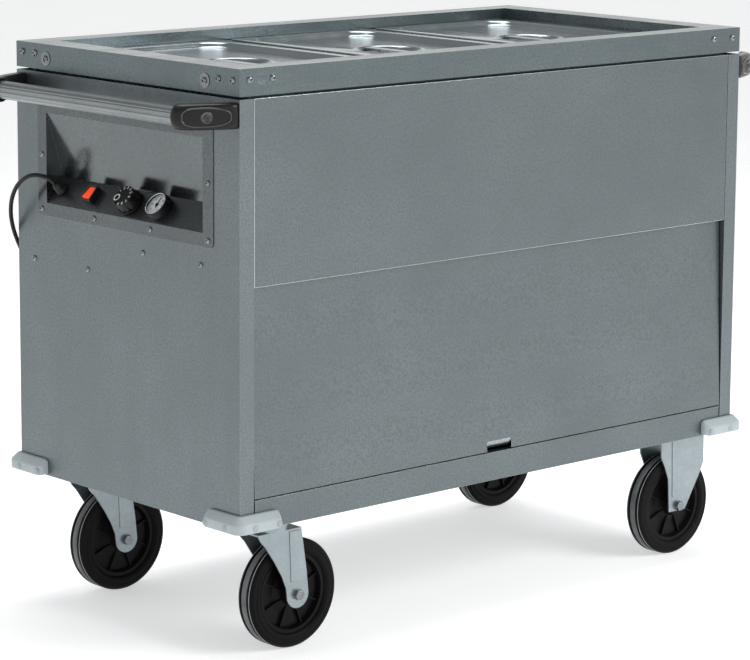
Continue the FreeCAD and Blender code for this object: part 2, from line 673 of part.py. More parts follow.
def make_control_strip():
    """The sloping instrument plate, with a hole for each control."""
    margin = 2
    plate = doc.addObject("Part::Box", "Plate")
    bind(plate, Length="recess_left + recess_right", Width=str(STRIP_LENGTH - margin),
         Height=str(STRIP_THICKNESS))
    shift = STRIP_TURN.multVec(Vector(0, -(STRIP_LENGTH - margin) / 2 - 0.4, 0))
    place(plate, (f"{STRIP_CENTRE_X} + ({shift.x})", "recess_left",
                  f"{STRIP_CENTRE_Z} + ({shift.z})"), STRIP_TURN)
    holes = [on_strip(prism("z", [("-rocker_width / 2 - 1", "-rocker_length / 2 - 1"),
                                  ("rocker_width / 2 + 1", "-rocker_length / 2 - 1"),
                                  ("rocker_width / 2 + 1", "rocker_length / 2 + 1"),
                                  ("-rocker_width / 2 - 1", "rocker_length / 2 + 1")], "20"),
                      "rocker_place", -10)]
    for radius, place_y in (("spindle_radius + 1", "knob_place"), ("dial_neck", "dial_place"),
                            ("gland_radius * 0.7", "gland_place")):
        holes.append(on_strip(cylinder(radius, "20", ("0", "0", "0")), place_y, -10))
    return node("control_strip", cut(plate, *holes))


def make_switch():
    """Rocker switch: a bezel with a body behind the plate, and the lit rocker."""
    wide, long = "rocker_width / 2", "rocker_length / 2"
    gap = 0.4
    bezel = rounded_block("z", ("bezel_width", "bezel_length", "bezel_height"),
                          ("-bezel_width / 2", "-bezel_length / 2", "0"), "3")
    rear = box(("rocker_width + 1", "rocker_length + 1", "switch_depth"),
               (f"-{wide} - 0.5", f"-{long} - 0.5", "-switch_depth"))
    well = box((f"rocker_width + 2 * {gap}", f"rocker_length + 2 * {gap}", "bezel_height * 2"),
               (f"-{wide} - {gap}", f"-{long} - {gap}", "-3"))
    pivot = "(bezel_height - 4)"
    bores = cylinder("trunnion + fit", "rocker_width + 4", ("-rocker_width / 2 - 2", "0", pivot),
                     "x")
    body = on_strip(cut(fuse(bezel, rear), well, bores), "rocker_place")
    node("switch_body", body)
    trunnions = cylinder("trunnion", "rocker_width + 3", ("-rocker_width / 2 - 1.5", "0", pivot),
                         "x")
    rocker = prism("x", [("-11", f"{pivot} + 6.5"), ("-12.4", f"{pivot} + 2"),
                         ("-11", f"{pivot} - 2"), ("0", f"{pivot} - 5.5"),
                         ("12.2", f"{pivot} - 1.5"), ("12.5", f"{pivot} + 2.4"),
                         ("0", f"{pivot} + 4")],
                   "rocker_width", ("-rocker_width / 2", "0", "0"))
    return node("switch_rocker", on_strip(fuse(rocker, trunnions), "rocker_place"))


def make_thermostat():
    half = "thermostat_size / 2"
    block = box(("thermostat_size", "thermostat_size * 0.8", "thermostat_depth"),
                (f"-{half}", f"-{half} * 0.8", f"-thermostat_depth - {STRIP_THICKNESS}"))
    bore = cylinder("spindle_radius + fit", "12", ("0", "0", "-12"))
    node("thermostat_body", on_strip(cut(block, bore), "knob_place"))
    spindle = cylinder("spindle_radius", "knob_height + 4", ("0", "0", "-10"))
    node("thermostat_spindle", on_strip(group(spindle), "knob_place"))


def make_knob():
    """Round knob with a low skirt, a grip with flutes and a blind hole for the spindle."""
    disc = fuse(cylinder("knob_radius", "5", ("0", "0", "knob_gap")),
                cone("knob_radius * 0.92", "knob_radius * 0.84", "knob_height - 5",
                     ("0", "0", "knob_gap + 5")))
    bore = cylinder("spindle_radius", "knob_height + 4", ("0", "0", "-10"))
    flutes = []
    for step in range(12):
        angle = math.radians(30 * step + 15)
        flutes.append(cylinder("2.4", "knob_height",
                               (f"knob_radius * {0.95 * math.cos(angle)}",
                                f"knob_radius * {0.95 * math.sin(angle)}", "knob_gap + 5")))
    return node("thermostat_knob", on_strip(cut(disc, bore, *flutes), "knob_place"))


def make_dial_gauge():
    """Round dial thermometer: case, dial plate, needle and lens."""
    rim_t, glass_t, plate_t = 2, 1, 1
    case = fuse(cylinder("dial_radius", "dial_height", ("0", "0", "0")),
                cylinder("dial_neck - 0.5", "dial_depth", ("0", "0", "-dial_depth")))
    bowl = cylinder(f"dial_radius - {rim_t}", "dial_height", ("0", "0", "dial_height - 7"))
    pivot = cylinder("0.8", "4", ("0", "0", "dial_height - 9"))
    node("gauge_case", on_strip(fuse(cut(case, bowl), pivot), "dial_place"))
    plate = cut(cylinder(f"dial_radius - {rim_t}", plate_t, ("0", "0", "dial_height - 7")),
                cylinder("1", "4", ("0", "0", "dial_height - 9")))
    node("gauge_dial", on_strip(plate, "dial_place"))
    blade = fuse(prism("z", [("-1.1", "-6"), ("1.1", "-6"), ("0.4", "15"), ("-0.4", "15")],
                       "0.6", ("0", "0", "dial_height - 5.5")),
                 cylinder("3.4", "1.2", ("0", "0", "dial_height - 5.6")))
    bore = cylinder("0.8 + fit", "6", ("0", "0", "dial_height - 8"))
    node("gauge_needle", on_strip(cut(blade, bore), "dial_place"))
    lens = cylinder(f"dial_radius - {rim_t}", glass_t, ("0", "0", "dial_height - 2"))
    node("gauge_lens", on_strip(group(lens), "dial_place"))


def make_cable_gland():
    """Hexagonal base, a domed nut and the bore that the mains lead leaves by."""
    base = hexagon("gland_radius", "7", ("0", "0", "0"))
    dome = cone("gland_radius * 0.85", "gland_radius * 0.5", "gland_height - 7",
                ("0", "0", "7"))
    neck = cylinder("gland_radius * 0.65", "10", ("0", "0", "-10"))
    return node("cable_gland", on_strip(fuse(base, dome, neck), "gland_place"))


# ------------------------------------------------------------------ push bars
def make_push_bars():
    """Ribbed tubes at both ends."""
    bars = []
    for end in (-1, 1):
        x = f"{end} * (body_length / 2 + bar_reach)"
        tube = cylinder("bar_radius", "2 * bar_half", (x, "-bar_half", "bar_level"), "y")
        bore = cylinder("bar_radius - bar_wall", "2 * bar_half + 10",
                        (x, "-bar_half - 5", "bar_level"), "y")
        grooves = []
        for step in range(8):
            turn = FreeCAD.Rotation(Vector(0, 1, 0), 45 * step + 10)
            corner = turn.multVec(Vector(-1, 0, size("bar_radius") - 0.9))
            groove = box(("2", "2 * bar_half + 2", "3"), ("0", "0", "0"))
            place(groove, (f"{x} + ({corner.x})", "-bar_half - 1",
                           f"bar_level + ({corner.z})"), turn)
            grooves.append(groove)
        bars.append(cut(tube, bore, *grooves))
    return node("push_bars", group(*bars))


def make_push_bar_brackets():
    """Moulded arms from the cabinet's corners out to the ends of the bars."""
    brackets = []
    outline = [("0", "-32"), ("12", "-28"), ("34", "-20"), ("58", "-6"), ("62", "2"),
               ("98", "2"), ("98", "-8"), ("90", "-20"), ("66", "-36"), ("12", "-59"),
               ("0", "-60")]
    for end in (-1, 1):
        for side in (-1, 1):
            points = [(f"{end} * ({u})", f"{-side} * ({v})") for u, v in outline]
            arm = prism("z", points, "bracket_height",
                        (f"{end} * body_length / 2", f"{side} * (bar_half - 6)",
                         "bar_level - bracket_height / 2"))
            seat_y = "-bar_half" if side < 0 else "bar_half - bracket_socket"
            socket = cylinder("bar_radius", "bracket_socket",
                              (f"{end} * (body_length / 2 + bar_reach)", seat_y,
                               "bar_level"), "y")
            brackets.append(cut(arm, socket))
    return node("push_bar_brackets", group(*brackets))


# ------------------------------------------------------------------ bumpers
def make_corner_bumpers():
    """Angled plastic buffers around the four bottom corners."""
    reach, leg, trim = "bumper_reach", "bumper_leg", "bumper_cut"
    outline = [("0", "0"), (leg, "0"), (leg, f"-{reach} + {trim}"),
               (f"{leg} - {trim}", f"-{reach}"), (f"-{reach} + {trim}", f"-{reach}"),
               (f"-{reach}", f"-{reach} + {trim}"), (f"-{reach}", f"{leg} - {trim}"),
               (f"-{reach} + {trim}", leg), ("0", leg)]
    bumpers = []
    for quarter, (sx, sy) in enumerate(((-1, -1), (1, -1), (1, 1), (-1, 1))):
        body = prism("z", outline, "bumper_height",
                     (f"{sx} * body_length / 2", f"{sy} * body_width / 2", "bumper_bottom"),
                     FreeCAD.Rotation(Vector(0, 0, 1), 90 * quarter))
        doc.recompute()
        tall = size("bumper_height")
        rims = [f"Edge{number}" for number, edge in enumerate(body.Tip.Shape.Edges, start=1)
                if all(abs(v.Z - tall) < 1e-6 for v in edge.Vertexes)
                and min(edge.CenterOfMass.x, edge.CenterOfMass.y) < -1]
        bumpers.append(soften(body, rims, "bumper_slope", "Chamfer"))
    return node("corner_bumpers", group(*bumpers))


# ------------------------------------------------------------------ casters
SIDES = {"front": "-body_width / 2 + wheel_inset", "rear": "body_width / 2 - wheel_inset"}
SWIVEL_X = "swivel_wheel - trail"


def caster_bolt_places():
    """Floor-plan places of the bolts that hold the four casters."""
    swivel = [(f"{SWIVEL_X} + {dx}", f"{y} + {dy}") for y in SIDES.values()
              for dx in (-40, 40) for dy in (-32, 32)]
    rigid = [(f"rigid_wheel + {dx}", f"{y} + {dy}") for y in SIDES.values()
             for dx in (-40, 60) for dy in (-37, 37)]
    return swivel + rigid


def make_caster_bolts():
    bolts = []
    for x, y in caster_bolt_places():
        swivel = "swivel" in x
        under = "plate_thickness" if swivel else "leg_thickness"
        seat = f"skirt_bottom - {under}"
        bolts.append(fuse(hexagon("bolt_head", "4.5", (x, y, f"{seat} - 4.5")),
                          cylinder("4", f"{under} + 12", (x, y, seat)),
                          hexagon("bolt_head", "6", (x, y, "skirt_bottom + gauge"))))
    return node("caster_bolts", group(*bolts))


def make_swivel_plates():
    """Top plates with their dust covers, kingpins and lock nuts."""
    plates = []
    for y in SIDES.values():
        plate = box(("plate_length", "plate_width", "plate_thickness"),
                    (f"{SWIVEL_X} - plate_length / 2", f"{y} - plate_width / 2",
                     "skirt_bottom - plate_thickness"))
        cover = cylinder("cover_radius", "cover_height",
                         (SWIVEL_X, y, "skirt_bottom - plate_thickness - cover_height"))
        kingpin = cylinder("bolt_radius", "skirt_bottom - crown_level + 6",
                           (SWIVEL_X, y, "crown_level - crown_thickness - axial_play - 6"))
        nut = hexagon("nut_radius", "nut_height",
                      (SWIVEL_X, y, "crown_level - crown_thickness - axial_play - nut_height"))
        holes = [cylinder("4.2", "plate_thickness * 3",
                          (f"{SWIVEL_X} + {dx}", f"{y} + {dy}",
                           "skirt_bottom - 2 * plate_thickness"))
                 for dx in (-40, 40) for dy in (-32, 32)]
        plates.append(cut(fuse(plate, cover, kingpin, nut), *holes))
    return node("swivel_plates", group(*plates))


SWIVEL_LEG = [("-91", "120"), ("-84", "108"), ("-74", "97"), ("-53", "66"), ("-37", "39"),
              ("-27", "15"), ("-25", "0"), ("25", "0"), ("21", "40"), ("8", "122"),
              ("-91", "122")]
RIGID_LEG = [("-50", "147"), ("-50", "104"), ("-40", "83"), ("-30", "58"), ("-26", "-10"),
             ("20", "-10"), ("62", "58"), ("72", "79"), ("72", "147")]


def fork_legs(outline, wheel_x, y, rounded):
    """Two legs either side of a wheel, with bolt holes."""
    legs = []
    for offset in ("-leg_gap - leg_thickness", "leg_gap"):
        at = (wheel_x, f"{y} + ({offset})", "wheel_radius")
        leg = prism("y", outline, "leg_thickness", at)
        if rounded:
            leg = fuse(leg, cylinder("hub_radius", "leg_thickness", at, "y"))
        legs.append(leg)
    return legs


def make_swivel_fork(label):
    y = SIDES[label]
    crown = box(("99", "2 * leg_gap", "crown_thickness"),
                ("swivel_wheel - 91", f"{y} - leg_gap", "crown_level - crown_thickness"))
    race = cylinder("race_radius",
                    "skirt_bottom - plate_thickness - cover_height - axial_play - crown_level",
                    (SWIVEL_X, y, "crown_level"))
    legs = fork_legs(SWIVEL_LEG, "swivel_wheel", y, True)
    bore = cylinder("bolt_radius + fit", "40", (SWIVEL_X, y, "crown_level - 10"))
    eye = cylinder("bolt_radius", "2 * leg_gap + 4 * leg_thickness",
                   ("swivel_wheel", f"{y} - leg_gap - 2 * leg_thickness", "wheel_radius"), "y")
    return node(f"swivel_fork_{label}", cut(fuse(crown, race, *legs), bore, eye))


def make_rigid_forks():
    forks = []
    for y in SIDES.values():
        top = box(("150", "plate_width", "leg_thickness"),
                  ("rigid_wheel - 64", f"{y} - plate_width / 2",
                   "skirt_bottom - leg_thickness"))
        legs = fork_legs(RIGID_LEG, "rigid_wheel", y, False)
        eye = cylinder("bolt_radius", "2 * leg_gap + 4 * leg_thickness",
                       ("rigid_wheel", f"{y} - leg_gap - 2 * leg_thickness", "wheel_radius"),
                       "y")
        holes = [cylinder("4.2", "leg_thickness * 3",
                          (f"rigid_wheel + {dx}", f"{y} + {dy}",
                           "skirt_bottom - 2 * leg_thickness"))
                 for dx in (-40, 60) for dy in (-37, 37)]
        forks.append(cut(fuse(top, *legs), eye, *holes))
    return node("rigid_forks", group(*forks))


def axle(wheel_x, y):
    """Bolt, nut and spacer sleeve."""
    def along(radius, start, length, make=cylinder):
        return make(radius, length, (wheel_x, f"{y} + ({start})", "wheel_radius"), "y")
    outside = "leg_gap + leg_thickness"
    return fuse(along("bolt_radius", f"-{outside} - 6", f"2 * ({outside}) + 12"),
                along("sleeve_radius", "-leg_gap", "2 * leg_gap"),
                along("nut_radius", f"-({outside}) - nut_height", "nut_height", hexagon),
                along("nut_radius", outside, "nut_height", hexagon))


RIM_PROFILE = [("sleeve_radius + fit", "-hub_half"), ("20", "-hub_half"), ("23", "-10"),
               ("40", "-5"), ("63", "-5"), ("67", "-15"), ("tyre_seat", "-15"),
               ("tyre_seat", "15"), ("67", "15"), ("63", "5"), ("40", "5"), ("23", "10"),
               ("20", "hub_half"), ("sleeve_radius + fit", "hub_half")]
TYRE_HALF = [("tyre_seat", "16"), ("80", "wheel_width / 2"),
             ("wheel_radius", "wheel_width / 2"), ("wheel_radius", "9.5"),
             ("wheel_radius - tread_groove", "9.5"), ("wheel_radius - tread_groove", "7"),
             ("wheel_radius", "7")]
TYRE_PROFILE = TYRE_HALF + [(u, f"-{v}") for u, v in reversed(TYRE_HALF)]


def make_wheel(label, wheel_x, y):
    """Moulded rim with ribs around its hub, and a rubber tyre with two tread grooves."""
    at = (wheel_x, y, "wheel_radius")
    disc = turned(RIM_PROFILE)
    rib = [("21", "-1.2"), ("64", "-1.2"), ("64", "1.2"), ("21", "1.2")]
    ribs = []
    for step in range(8):
        turn = FreeCAD.Rotation(Vector(0, 0, 1), 45 * step + 22.5)
        ribs.append(prism("z", rib, "22", ("0", "0", "-11"), turn))
    node(f"wheel_rim_{label}", place(fuse(disc, *ribs), at, ALONG["y"]))
    tyre = turned(TYRE_PROFILE, at, ALONG["y"])
    doc.recompute()
    half = size("wheel_width / 2")
    rims = [f"Edge{number}" for number, edge in enumerate(tyre.Tip.Shape.Edges, start=1)
            if edge.BoundBox.XLength > 199 and edge.BoundBox.ZLength < 0.01
            and abs(abs(edge.CenterOfMass.z) - half) < 0.01]
    node(f"tyre_{label}", soften(tyre, rims, "shoulder"))


# ------------------------------------------------------------------ mains lead
CORD_ROUTE = [(-640.4, 207, 806.9), (-651.2, 213, 812.4), (-659.5, 224, 814.6),
              (-665.5, 240, 811.5), (-668, 259, 801.5), (-667, 280, 784),
              (-661.5, 301, 759), (-650.5, 319, 730), (-636, 332, 700), (-619, 340, 670),
              (-600, 343.5, 640), (-583, 342, 610), (-569.5, 340, 579), (-561, 338, 549),
              (-558, 337, 521)]
ARC_SHARE = 0.45


def make_cord():
    """The lead from the gland round the corner to its coil, as runs joined by arcs."""
    tip = STRIP_THICKNESS + size("gland_height")
    start = Vector(size(STRIP_CENTRE_X), size("gland_place"), size(STRIP_CENTRE_Z)) + OUTWARD * tip
    points = [start] + [Vector(*point) for point in CORD_ROUTE]
    radii = []
    for before, corner, after in zip(points, points[1:], points[2:]):
        half_turn = (math.pi - (before - corner).getAngle(after - corner)) / 2
        shorter = min((corner - before).Length, (after - corner).Length)
        radii.append(ARC_SHARE * shorter / math.tan(half_turn))
    wire = rounded_wire(points, radii)
    radius = size("cord_diameter / 2")
    tube = rod(wire, radius)
    print("cord radii", [round(r) for r in radii], "length", round(wire.Length, 1),
          "volume ratio", round(tube.Volume / (math.pi * radius ** 2 * wire.Length), 4))
    return node("mains_cord", coded(tube))


def make_cord_coil():
    """The outer shape of the lead's neat coil on the hook."""
    ring = doc.addObject("Part::Torus", "Coil")
    bind(ring, Radius1="coil_radius", Radius2="coil_section")
    place(ring, ("coil_x", "coil_y", "coil_level"), ALONG["y"])
    return node("cord_coil", ring)


def make_cord_hook():
    """A short peg on a plate on the back panel."""
    level = "coil_level + coil_radius - coil_section - hook_radius"
    plate = box(("40", "hook_plate", "40"), ("coil_x - 20", "body_width / 2", f"{level} - 20"))
    peg = cylinder("hook_radius", "hook_reach", ("coil_x", "body_width / 2", level), "y")
    return node("cord_hook", fuse(plate, peg))


def make_plug():
    """A generic round mains plug that hangs beside the coil."""
    x = "coil_x - coil_radius"
    y = "coil_y + 4"
    top = "coil_level - 32"
    tail = cone("cord_diameter * 0.95", "cord_diameter * 0.6", "plug_tail",
                (x, y, f"{top} - plug_tail"))
    head = cylinder("plug_radius", "plug_length",
                    (x, y, f"{top} - plug_tail - plug_length"))
    pins = [cylinder("2.4", "20", (f"{x} + {dx}", y,
                                   f"{top} - plug_tail - plug_length - 19"))
            for dx in (-9.5, 9.5)]
    return node("mains_plug", fuse(tail, head, *pins))


# ------------------------------------------------------------------ assembly
def make_all():
    make_base_tray()
    make_control_end_panel()
    make_plain_end_panel()
    make_long_panel("upper_front_panel", -1, "front_split")
    make_long_panel("rear_panel", 1, "(skirt_bottom + rail_height + seam)")
    make_compartment_floor()
    make_rim_frame()
    make_well_deck()
    make_well_tank()
    make_insulation_jacket()
    make_terminal_box()
    make_heating_elements()
    for well in WELLS:
        make_pan(well)
        make_lid(well)
        make_lid_handle(well)
    make_service_door()
    make_door_pivot_pins()
    make_control_housing()
    make_control_strip()
    make_switch()
    make_thermostat()
    make_knob()
    make_dial_gauge()
    make_cable_gland()
    make_push_bars()
    make_push_bar_brackets()
    make_corner_bumpers()
    make_swivel_plates()
    make_caster_bolts()
    make_rigid_forks()
    rigid_axles = []
    for label, y in SIDES.items():
        make_swivel_fork(label)
        node(f"swivel_axle_{label}", axle("swivel_wheel", y))
        rigid_axles.append(axle("rigid_wheel", y))
        make_wheel(f"swivel_{label}", "swivel_wheel", y)
        make_wheel(f"rigid_{label}", "rigid_wheel", y)
    node("rigid_axles", group(*rigid_axles))
    make_cord()
    make_cord_coil()
    make_cord_hook()
    make_plug()
    make_screws()


def check_and_export():
    doc.recompute()
    for item in doc.Objects:
        if "Invalid" in item.State or "Error" in item.State:
            raise RuntimeError(f"{item.Name} ({item.Label}) failed: {item.State}")
    os.makedirs("parts", exist_ok=True)
    for item in NODES:
        shape = item.Shape
        if shape.isNull() or not shape.isValid() or not shape.Solids:
            raise RuntimeError(f"{item.Label} has no valid solid")
    for item in NODES:
        item.Shape.exportStep(f"parts/{item.Label}.step")
    print(len(NODES), "nodes written")


make_all()
check_and_export()
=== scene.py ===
"""Looks of a mobile steam table unit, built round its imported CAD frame. Units are metres."""
import json
import math

import bmesh
import bpy
from mathutils import Matrix, Vector

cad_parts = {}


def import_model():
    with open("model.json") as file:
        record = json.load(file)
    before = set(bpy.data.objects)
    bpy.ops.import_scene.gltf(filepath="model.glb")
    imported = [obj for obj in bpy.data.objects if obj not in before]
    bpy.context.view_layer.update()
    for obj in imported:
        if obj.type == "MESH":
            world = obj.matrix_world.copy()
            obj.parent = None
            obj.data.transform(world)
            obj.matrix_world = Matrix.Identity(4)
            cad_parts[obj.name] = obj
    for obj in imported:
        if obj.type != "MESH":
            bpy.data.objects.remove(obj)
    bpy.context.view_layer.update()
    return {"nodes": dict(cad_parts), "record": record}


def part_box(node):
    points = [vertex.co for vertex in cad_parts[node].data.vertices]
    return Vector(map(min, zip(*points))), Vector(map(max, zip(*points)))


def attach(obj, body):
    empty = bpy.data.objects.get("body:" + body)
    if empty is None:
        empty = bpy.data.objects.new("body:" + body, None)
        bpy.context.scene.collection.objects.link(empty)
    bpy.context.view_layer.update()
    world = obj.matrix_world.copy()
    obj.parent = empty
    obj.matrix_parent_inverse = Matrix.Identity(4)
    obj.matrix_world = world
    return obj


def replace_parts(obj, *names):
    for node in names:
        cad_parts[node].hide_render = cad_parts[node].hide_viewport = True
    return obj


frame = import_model()
BODY_OF = {node: body for body, nodes in frame["record"]["behaviour"]["bodies"].items()
           for node in nodes}
SLOT_OF = {entry["node"]: entry["material_slot"] for entry in frame["record"]["subparts"]}
MM = 0.001


# ------------------------------------------------------------------ material building blocks
def blank(name):
    material = bpy.data.materials.new(name)
    material.use_nodes = True
    tree = material.node_tree
    return material, tree, tree.nodes["Principled BSDF"]


def stretched(tree, scale):
    """Object coordinates with a scale for each axis."""
    place = tree.nodes.new("ShaderNodeTexCoord")
    mapping = tree.nodes.new("ShaderNodeMapping")
    mapping.inputs["Scale"].default_value = scale
    tree.links.new(place.outputs["Object"], mapping.inputs["Vector"])
    return mapping.outputs["Vector"]


def noise(tree, vector, scale, detail=3.0, roughness=0.55):
    cloud = tree.nodes.new("ShaderNodeTexNoise")
    cloud.inputs["Scale"].default_value = scale
    cloud.inputs["Detail"].default_value = detail
    cloud.inputs["Roughness"].default_value = roughness
    tree.links.new(vector, cloud.inputs["Vector"])
    return cloud.outputs["Fac"]


def remap(tree, value, low, high, start=0.3, stop=0.7):
    """Spread a texture's middle range over new limits."""
    span = tree.nodes.new("ShaderNodeMapRange")
    for socket, number in zip(("From Min", "From Max", "To Min", "To Max"),
                              (start, stop, low, high)):
        span.inputs[socket].default_value = number
    tree.links.new(value, span.inputs["Value"])
    return span.outputs["Result"]


def blend_colours(tree, factor, first, second):
    """Mix two colours, each a tuple or a socket."""
    mix = tree.nodes.new("ShaderNodeMix")
    mix.data_type = "RGBA"
    tree.links.new(factor, mix.inputs["Factor"])
    for index, colour in ((6, first), (7, second)):
        if isinstance(colour, tuple):
            mix.inputs[index].default_value = (*colour, 1)
        else:
            tree.links.new(colour, mix.inputs[index])
    return mix.outputs[2]


def bumped(tree, shader, height, strength, distance=0.0004):
    """Let a texture's height turn the shader's normals."""
    bump = tree.nodes.new("ShaderNodeBump")
    bump.inputs["Strength"].default_value = strength
    bump.inputs["Distance"].default_value = distance
    tree.links.new(height, bump.inputs["Height"])
    tree.links.new(bump.outputs["Normal"], shader.inputs["Normal"])


def metal(name, light, dark, rough=(0.28, 0.42), along="x", grain=900, stretch=14,
          scratch=0.25, clouds=5.0, metallic=0.92, speckle=0.85):
    """Satin metal: brushed grain along one axis, soft clouds, a few wipe marks."""
    material, tree, shader = blank(name)
    shader.inputs["Metallic"].default_value = metallic
    squeeze = [1.0, 1.0, 1.0]
    squeeze["xyz".index(along)] = 1.0 / stretch
    fine = noise(tree, stretched(tree, tuple(squeeze)), grain, 2.0)
    speck = noise(tree, stretched(tree, (1, 1, 1)), grain * 0.8, 1.0)
    cloud = noise(tree, stretched(tree, (1, 1, 1)), clouds, 4.0)
    wipe = noise(tree, stretched(tree, tuple(3.0 if s == 1.0 else 0.35 for s in squeeze)),
                 9.0, 5.0, 0.65)
    body = blend_colours(tree, remap(tree, cloud, 0.0, 1.0), dark, light)
    grit = noise(tree, stretched(tree, (1, 1, 1)), grain * 0.3, 2.0, 0.7)
    tone = blend_colours(tree, remap(tree, fine, 0.0, 0.45), body, dark)
    tone = blend_colours(tree, remap(tree, speck, 0.0, 0.35, 0.45, 0.75), tone, light)
    tone = blend_colours(tree, remap(tree, grit, 0.0, speckle, 0.44, 0.60), tone,
                         tuple(0.86 * c for c in dark))
    tree.links.new(tone, shader.inputs["Base Color"])
    tree.links.new(remap(tree, wipe, rough[0], rough[1]), shader.inputs["Roughness"])
    bumped(tree, shader, fine, scratch)
    return material


def plastic(name, colour, worn, rough=(0.35, 0.5), texture=1400, depth=0.25, dust=6.0,
            specular=0.5):
    """Moulded plastic: fine spark-eroded texture and slightly dusty, scuffed patches."""
    material, tree, shader = blank(name)
    shader.inputs["Specular IOR Level"].default_value = specular
    patch = noise(tree, stretched(tree, (1, 1, 1)), dust, 5.0, 0.6)
    pits = noise(tree, stretched(tree, (1, 1, 1)), texture, 2.0)
    tone = blend_colours(tree, remap(tree, patch, 0.0, 1.0, 0.4, 0.75), colour, worn)
    tree.links.new(tone, shader.inputs["Base Color"])
    tree.links.new(remap(tree, patch, rough[0], rough[1]), shader.inputs["Roughness"])
    bumped(tree, shader, pits, depth, 0.0002)
    return material


def make_materials():
    made = {}
    made["satin_steel"] = metal("satin_steel", (0.172, 0.200, 0.206), (0.138, 0.161, 0.167),
                                (0.34, 0.44), "x")
    made["end_steel"] = metal("end_steel", (0.195, 0.226, 0.235), (0.156, 0.182, 0.190),
                              (0.32, 0.42), "z")
    # Darker copy of the end panels' steel: painted shade inside the control recess.
    made["painted_shade_recess_steel"] = metal("painted_shade_recess_steel", (0.155, 0.172, 0.176),
                                 (0.124, 0.138, 0.142), (0.15, 0.23), "z", 900, 8, 0.08)
    made["rim_steel"] = metal("rim_steel", (0.178, 0.212, 0.220), (0.138, 0.167, 0.174),
                              (0.22, 0.32), "x", 900, 10, 0.15)
    made["bright_steel"] = metal("bright_steel", (0.40, 0.44, 0.45), (0.30, 0.335, 0.345),
                                 (0.20, 0.32), "x")
    # Lid steel painted much lighter than the body's steel: painted light on the lids' tops,
    # which the rim's inner wall also mirrors; the well tank shares it.
    made["pressed_steel"] = metal("pressed_steel", (0.370, 0.415, 0.430),
                                  (0.290, 0.325, 0.340), (0.15, 0.26), "y", 900, 10, 0.10,
                                  speckle=0.4)
    # Darkest steel, for the control strip: painted shade and dark reflection on the strip
    # inside the recess.
    made["strip_steel"] = metal("strip_steel", (0.150, 0.165, 0.168), (0.105, 0.116, 0.120),
                                (0.24, 0.36), "y")
    made["zinc_steel"] = metal("zinc_steel", (0.335, 0.385, 0.405), (0.255, 0.295, 0.312),
                               (0.26, 0.42), "z", 500, 3, 0.15, 18.0, 0.85, 0.25)
    # Very light steel: painted highlight on the sheets' bevelled edges, and the bright metal
    # of the dial's bezel ring.
    made["painted_highlight_and_bezel_steel"] = metal("painted_highlight_and_bezel_steel", (0.74, 0.79, 0.81), (0.60, 0.65, 0.67),
                               (0.15, 0.28), "x", speckle=0.2)
    made["screw_steel"] = metal("screw_steel", (0.34, 0.36, 0.37), (0.20, 0.215, 0.22),
                                (0.08, 0.16), "z", 1500, 2, 0.1, 40.0)
    made["black_screw"] = metal("black_screw", (0.09, 0.09, 0.095), (0.05, 0.05, 0.052),
                                (0.18, 0.3), "z", 1500, 2, 0.1, 40.0)
    made["bar_aluminium"] = metal("bar_aluminium", (0.30, 0.32, 0.325), (0.22, 0.24, 0.245),
                                  (0.24, 0.36), "y", speckle=0.35)
    made["element_steel"] = metal("element_steel", (0.20, 0.17, 0.14), (0.09, 0.08, 0.08),
                                  (0.35, 0.5), "x", 400, 3, 0.2, 30.0)
    made["grey_plastic"] = plastic("grey_plastic", (0.42, 0.475, 0.495), (0.34, 0.385, 0.405),
                                   (0.45, 0.6))
    made["gloss_black"] = plastic("gloss_black", (0.012, 0.012, 0.013), (0.02, 0.02, 0.021),
                                  (0.10, 0.20), depth=0.05, specular=0.9)
    # Darker copy of the bumpers' grey: painted shade, standing in for the groove round each
    # cap.
    made["painted_shade_cap_plastic"] = plastic("painted_shade_cap_plastic", (0.35, 0.395, 0.415), (0.29, 0.33, 0.345),
                                  (0.4, 0.5))
    made["black_plastic"] = plastic("black_plastic", (0.006, 0.006, 0.0065),
                                    (0.012, 0.012, 0.012), (0.22, 0.36), specular=0.26)
    made["knob_plastic"] = plastic("knob_plastic", (0.006, 0.006, 0.006),
                                   (0.012, 0.012, 0.012), (0.25, 0.4), specular=0.26)
    made["wheel_plastic"] = plastic("wheel_plastic", (0.004, 0.004, 0.0045),
                                    (0.008, 0.008, 0.008), (0.3, 0.45), specular=0.10)
    made["tyre_rubber"] = plastic("tyre_rubber", (0.0035, 0.0035, 0.004),
                                  (0.010, 0.0098, 0.0095), (0.42, 0.6), 900, 0.4,
                                  specular=0.08)
    # Grey bands on the black tread: painted highlights, a wide one for the middle and thin
    # ones for the edges.
    made["painted_highlight_band"] = plastic("painted_highlight_band", (0.16, 0.168, 0.172), (0.09, 0.095, 0.098),
                                  (0.6, 0.8), 600, 0.5, 30.0, specular=0.2)
    made["painted_highlight_line"] = plastic("painted_highlight_line", (0.34, 0.36, 0.37), (0.20, 0.21, 0.22),
                                 (0.5, 0.7), 600, 0.3, 30.0, specular=0.2)
    made["cord_rubber"] = plastic("cord_rubber", (0.005, 0.005, 0.005), (0.010, 0.010, 0.010),
                                  (0.25, 0.38), specular=0.26)
    made["mineral_wool"] = plastic("mineral_wool", (0.55, 0.48, 0.30), (0.40, 0.34, 0.20),
                                   (0.85, 0.95), 260, 0.9, 20.0)
    made["dial_white"] = plastic("dial_white", (0.86, 0.87, 0.87), (0.74, 0.75, 0.75),
                                 (0.3, 0.4), 1800, 0.05)
    made["marking_white"] = plastic("marking_white", (0.80, 0.81, 0.81), (0.62, 0.63, 0.63),
                                    (0.4, 0.5), 1500, 0.05)
    made["red_lens"] = lit_lens()
    made["clear_glass"] = glass()
    return made


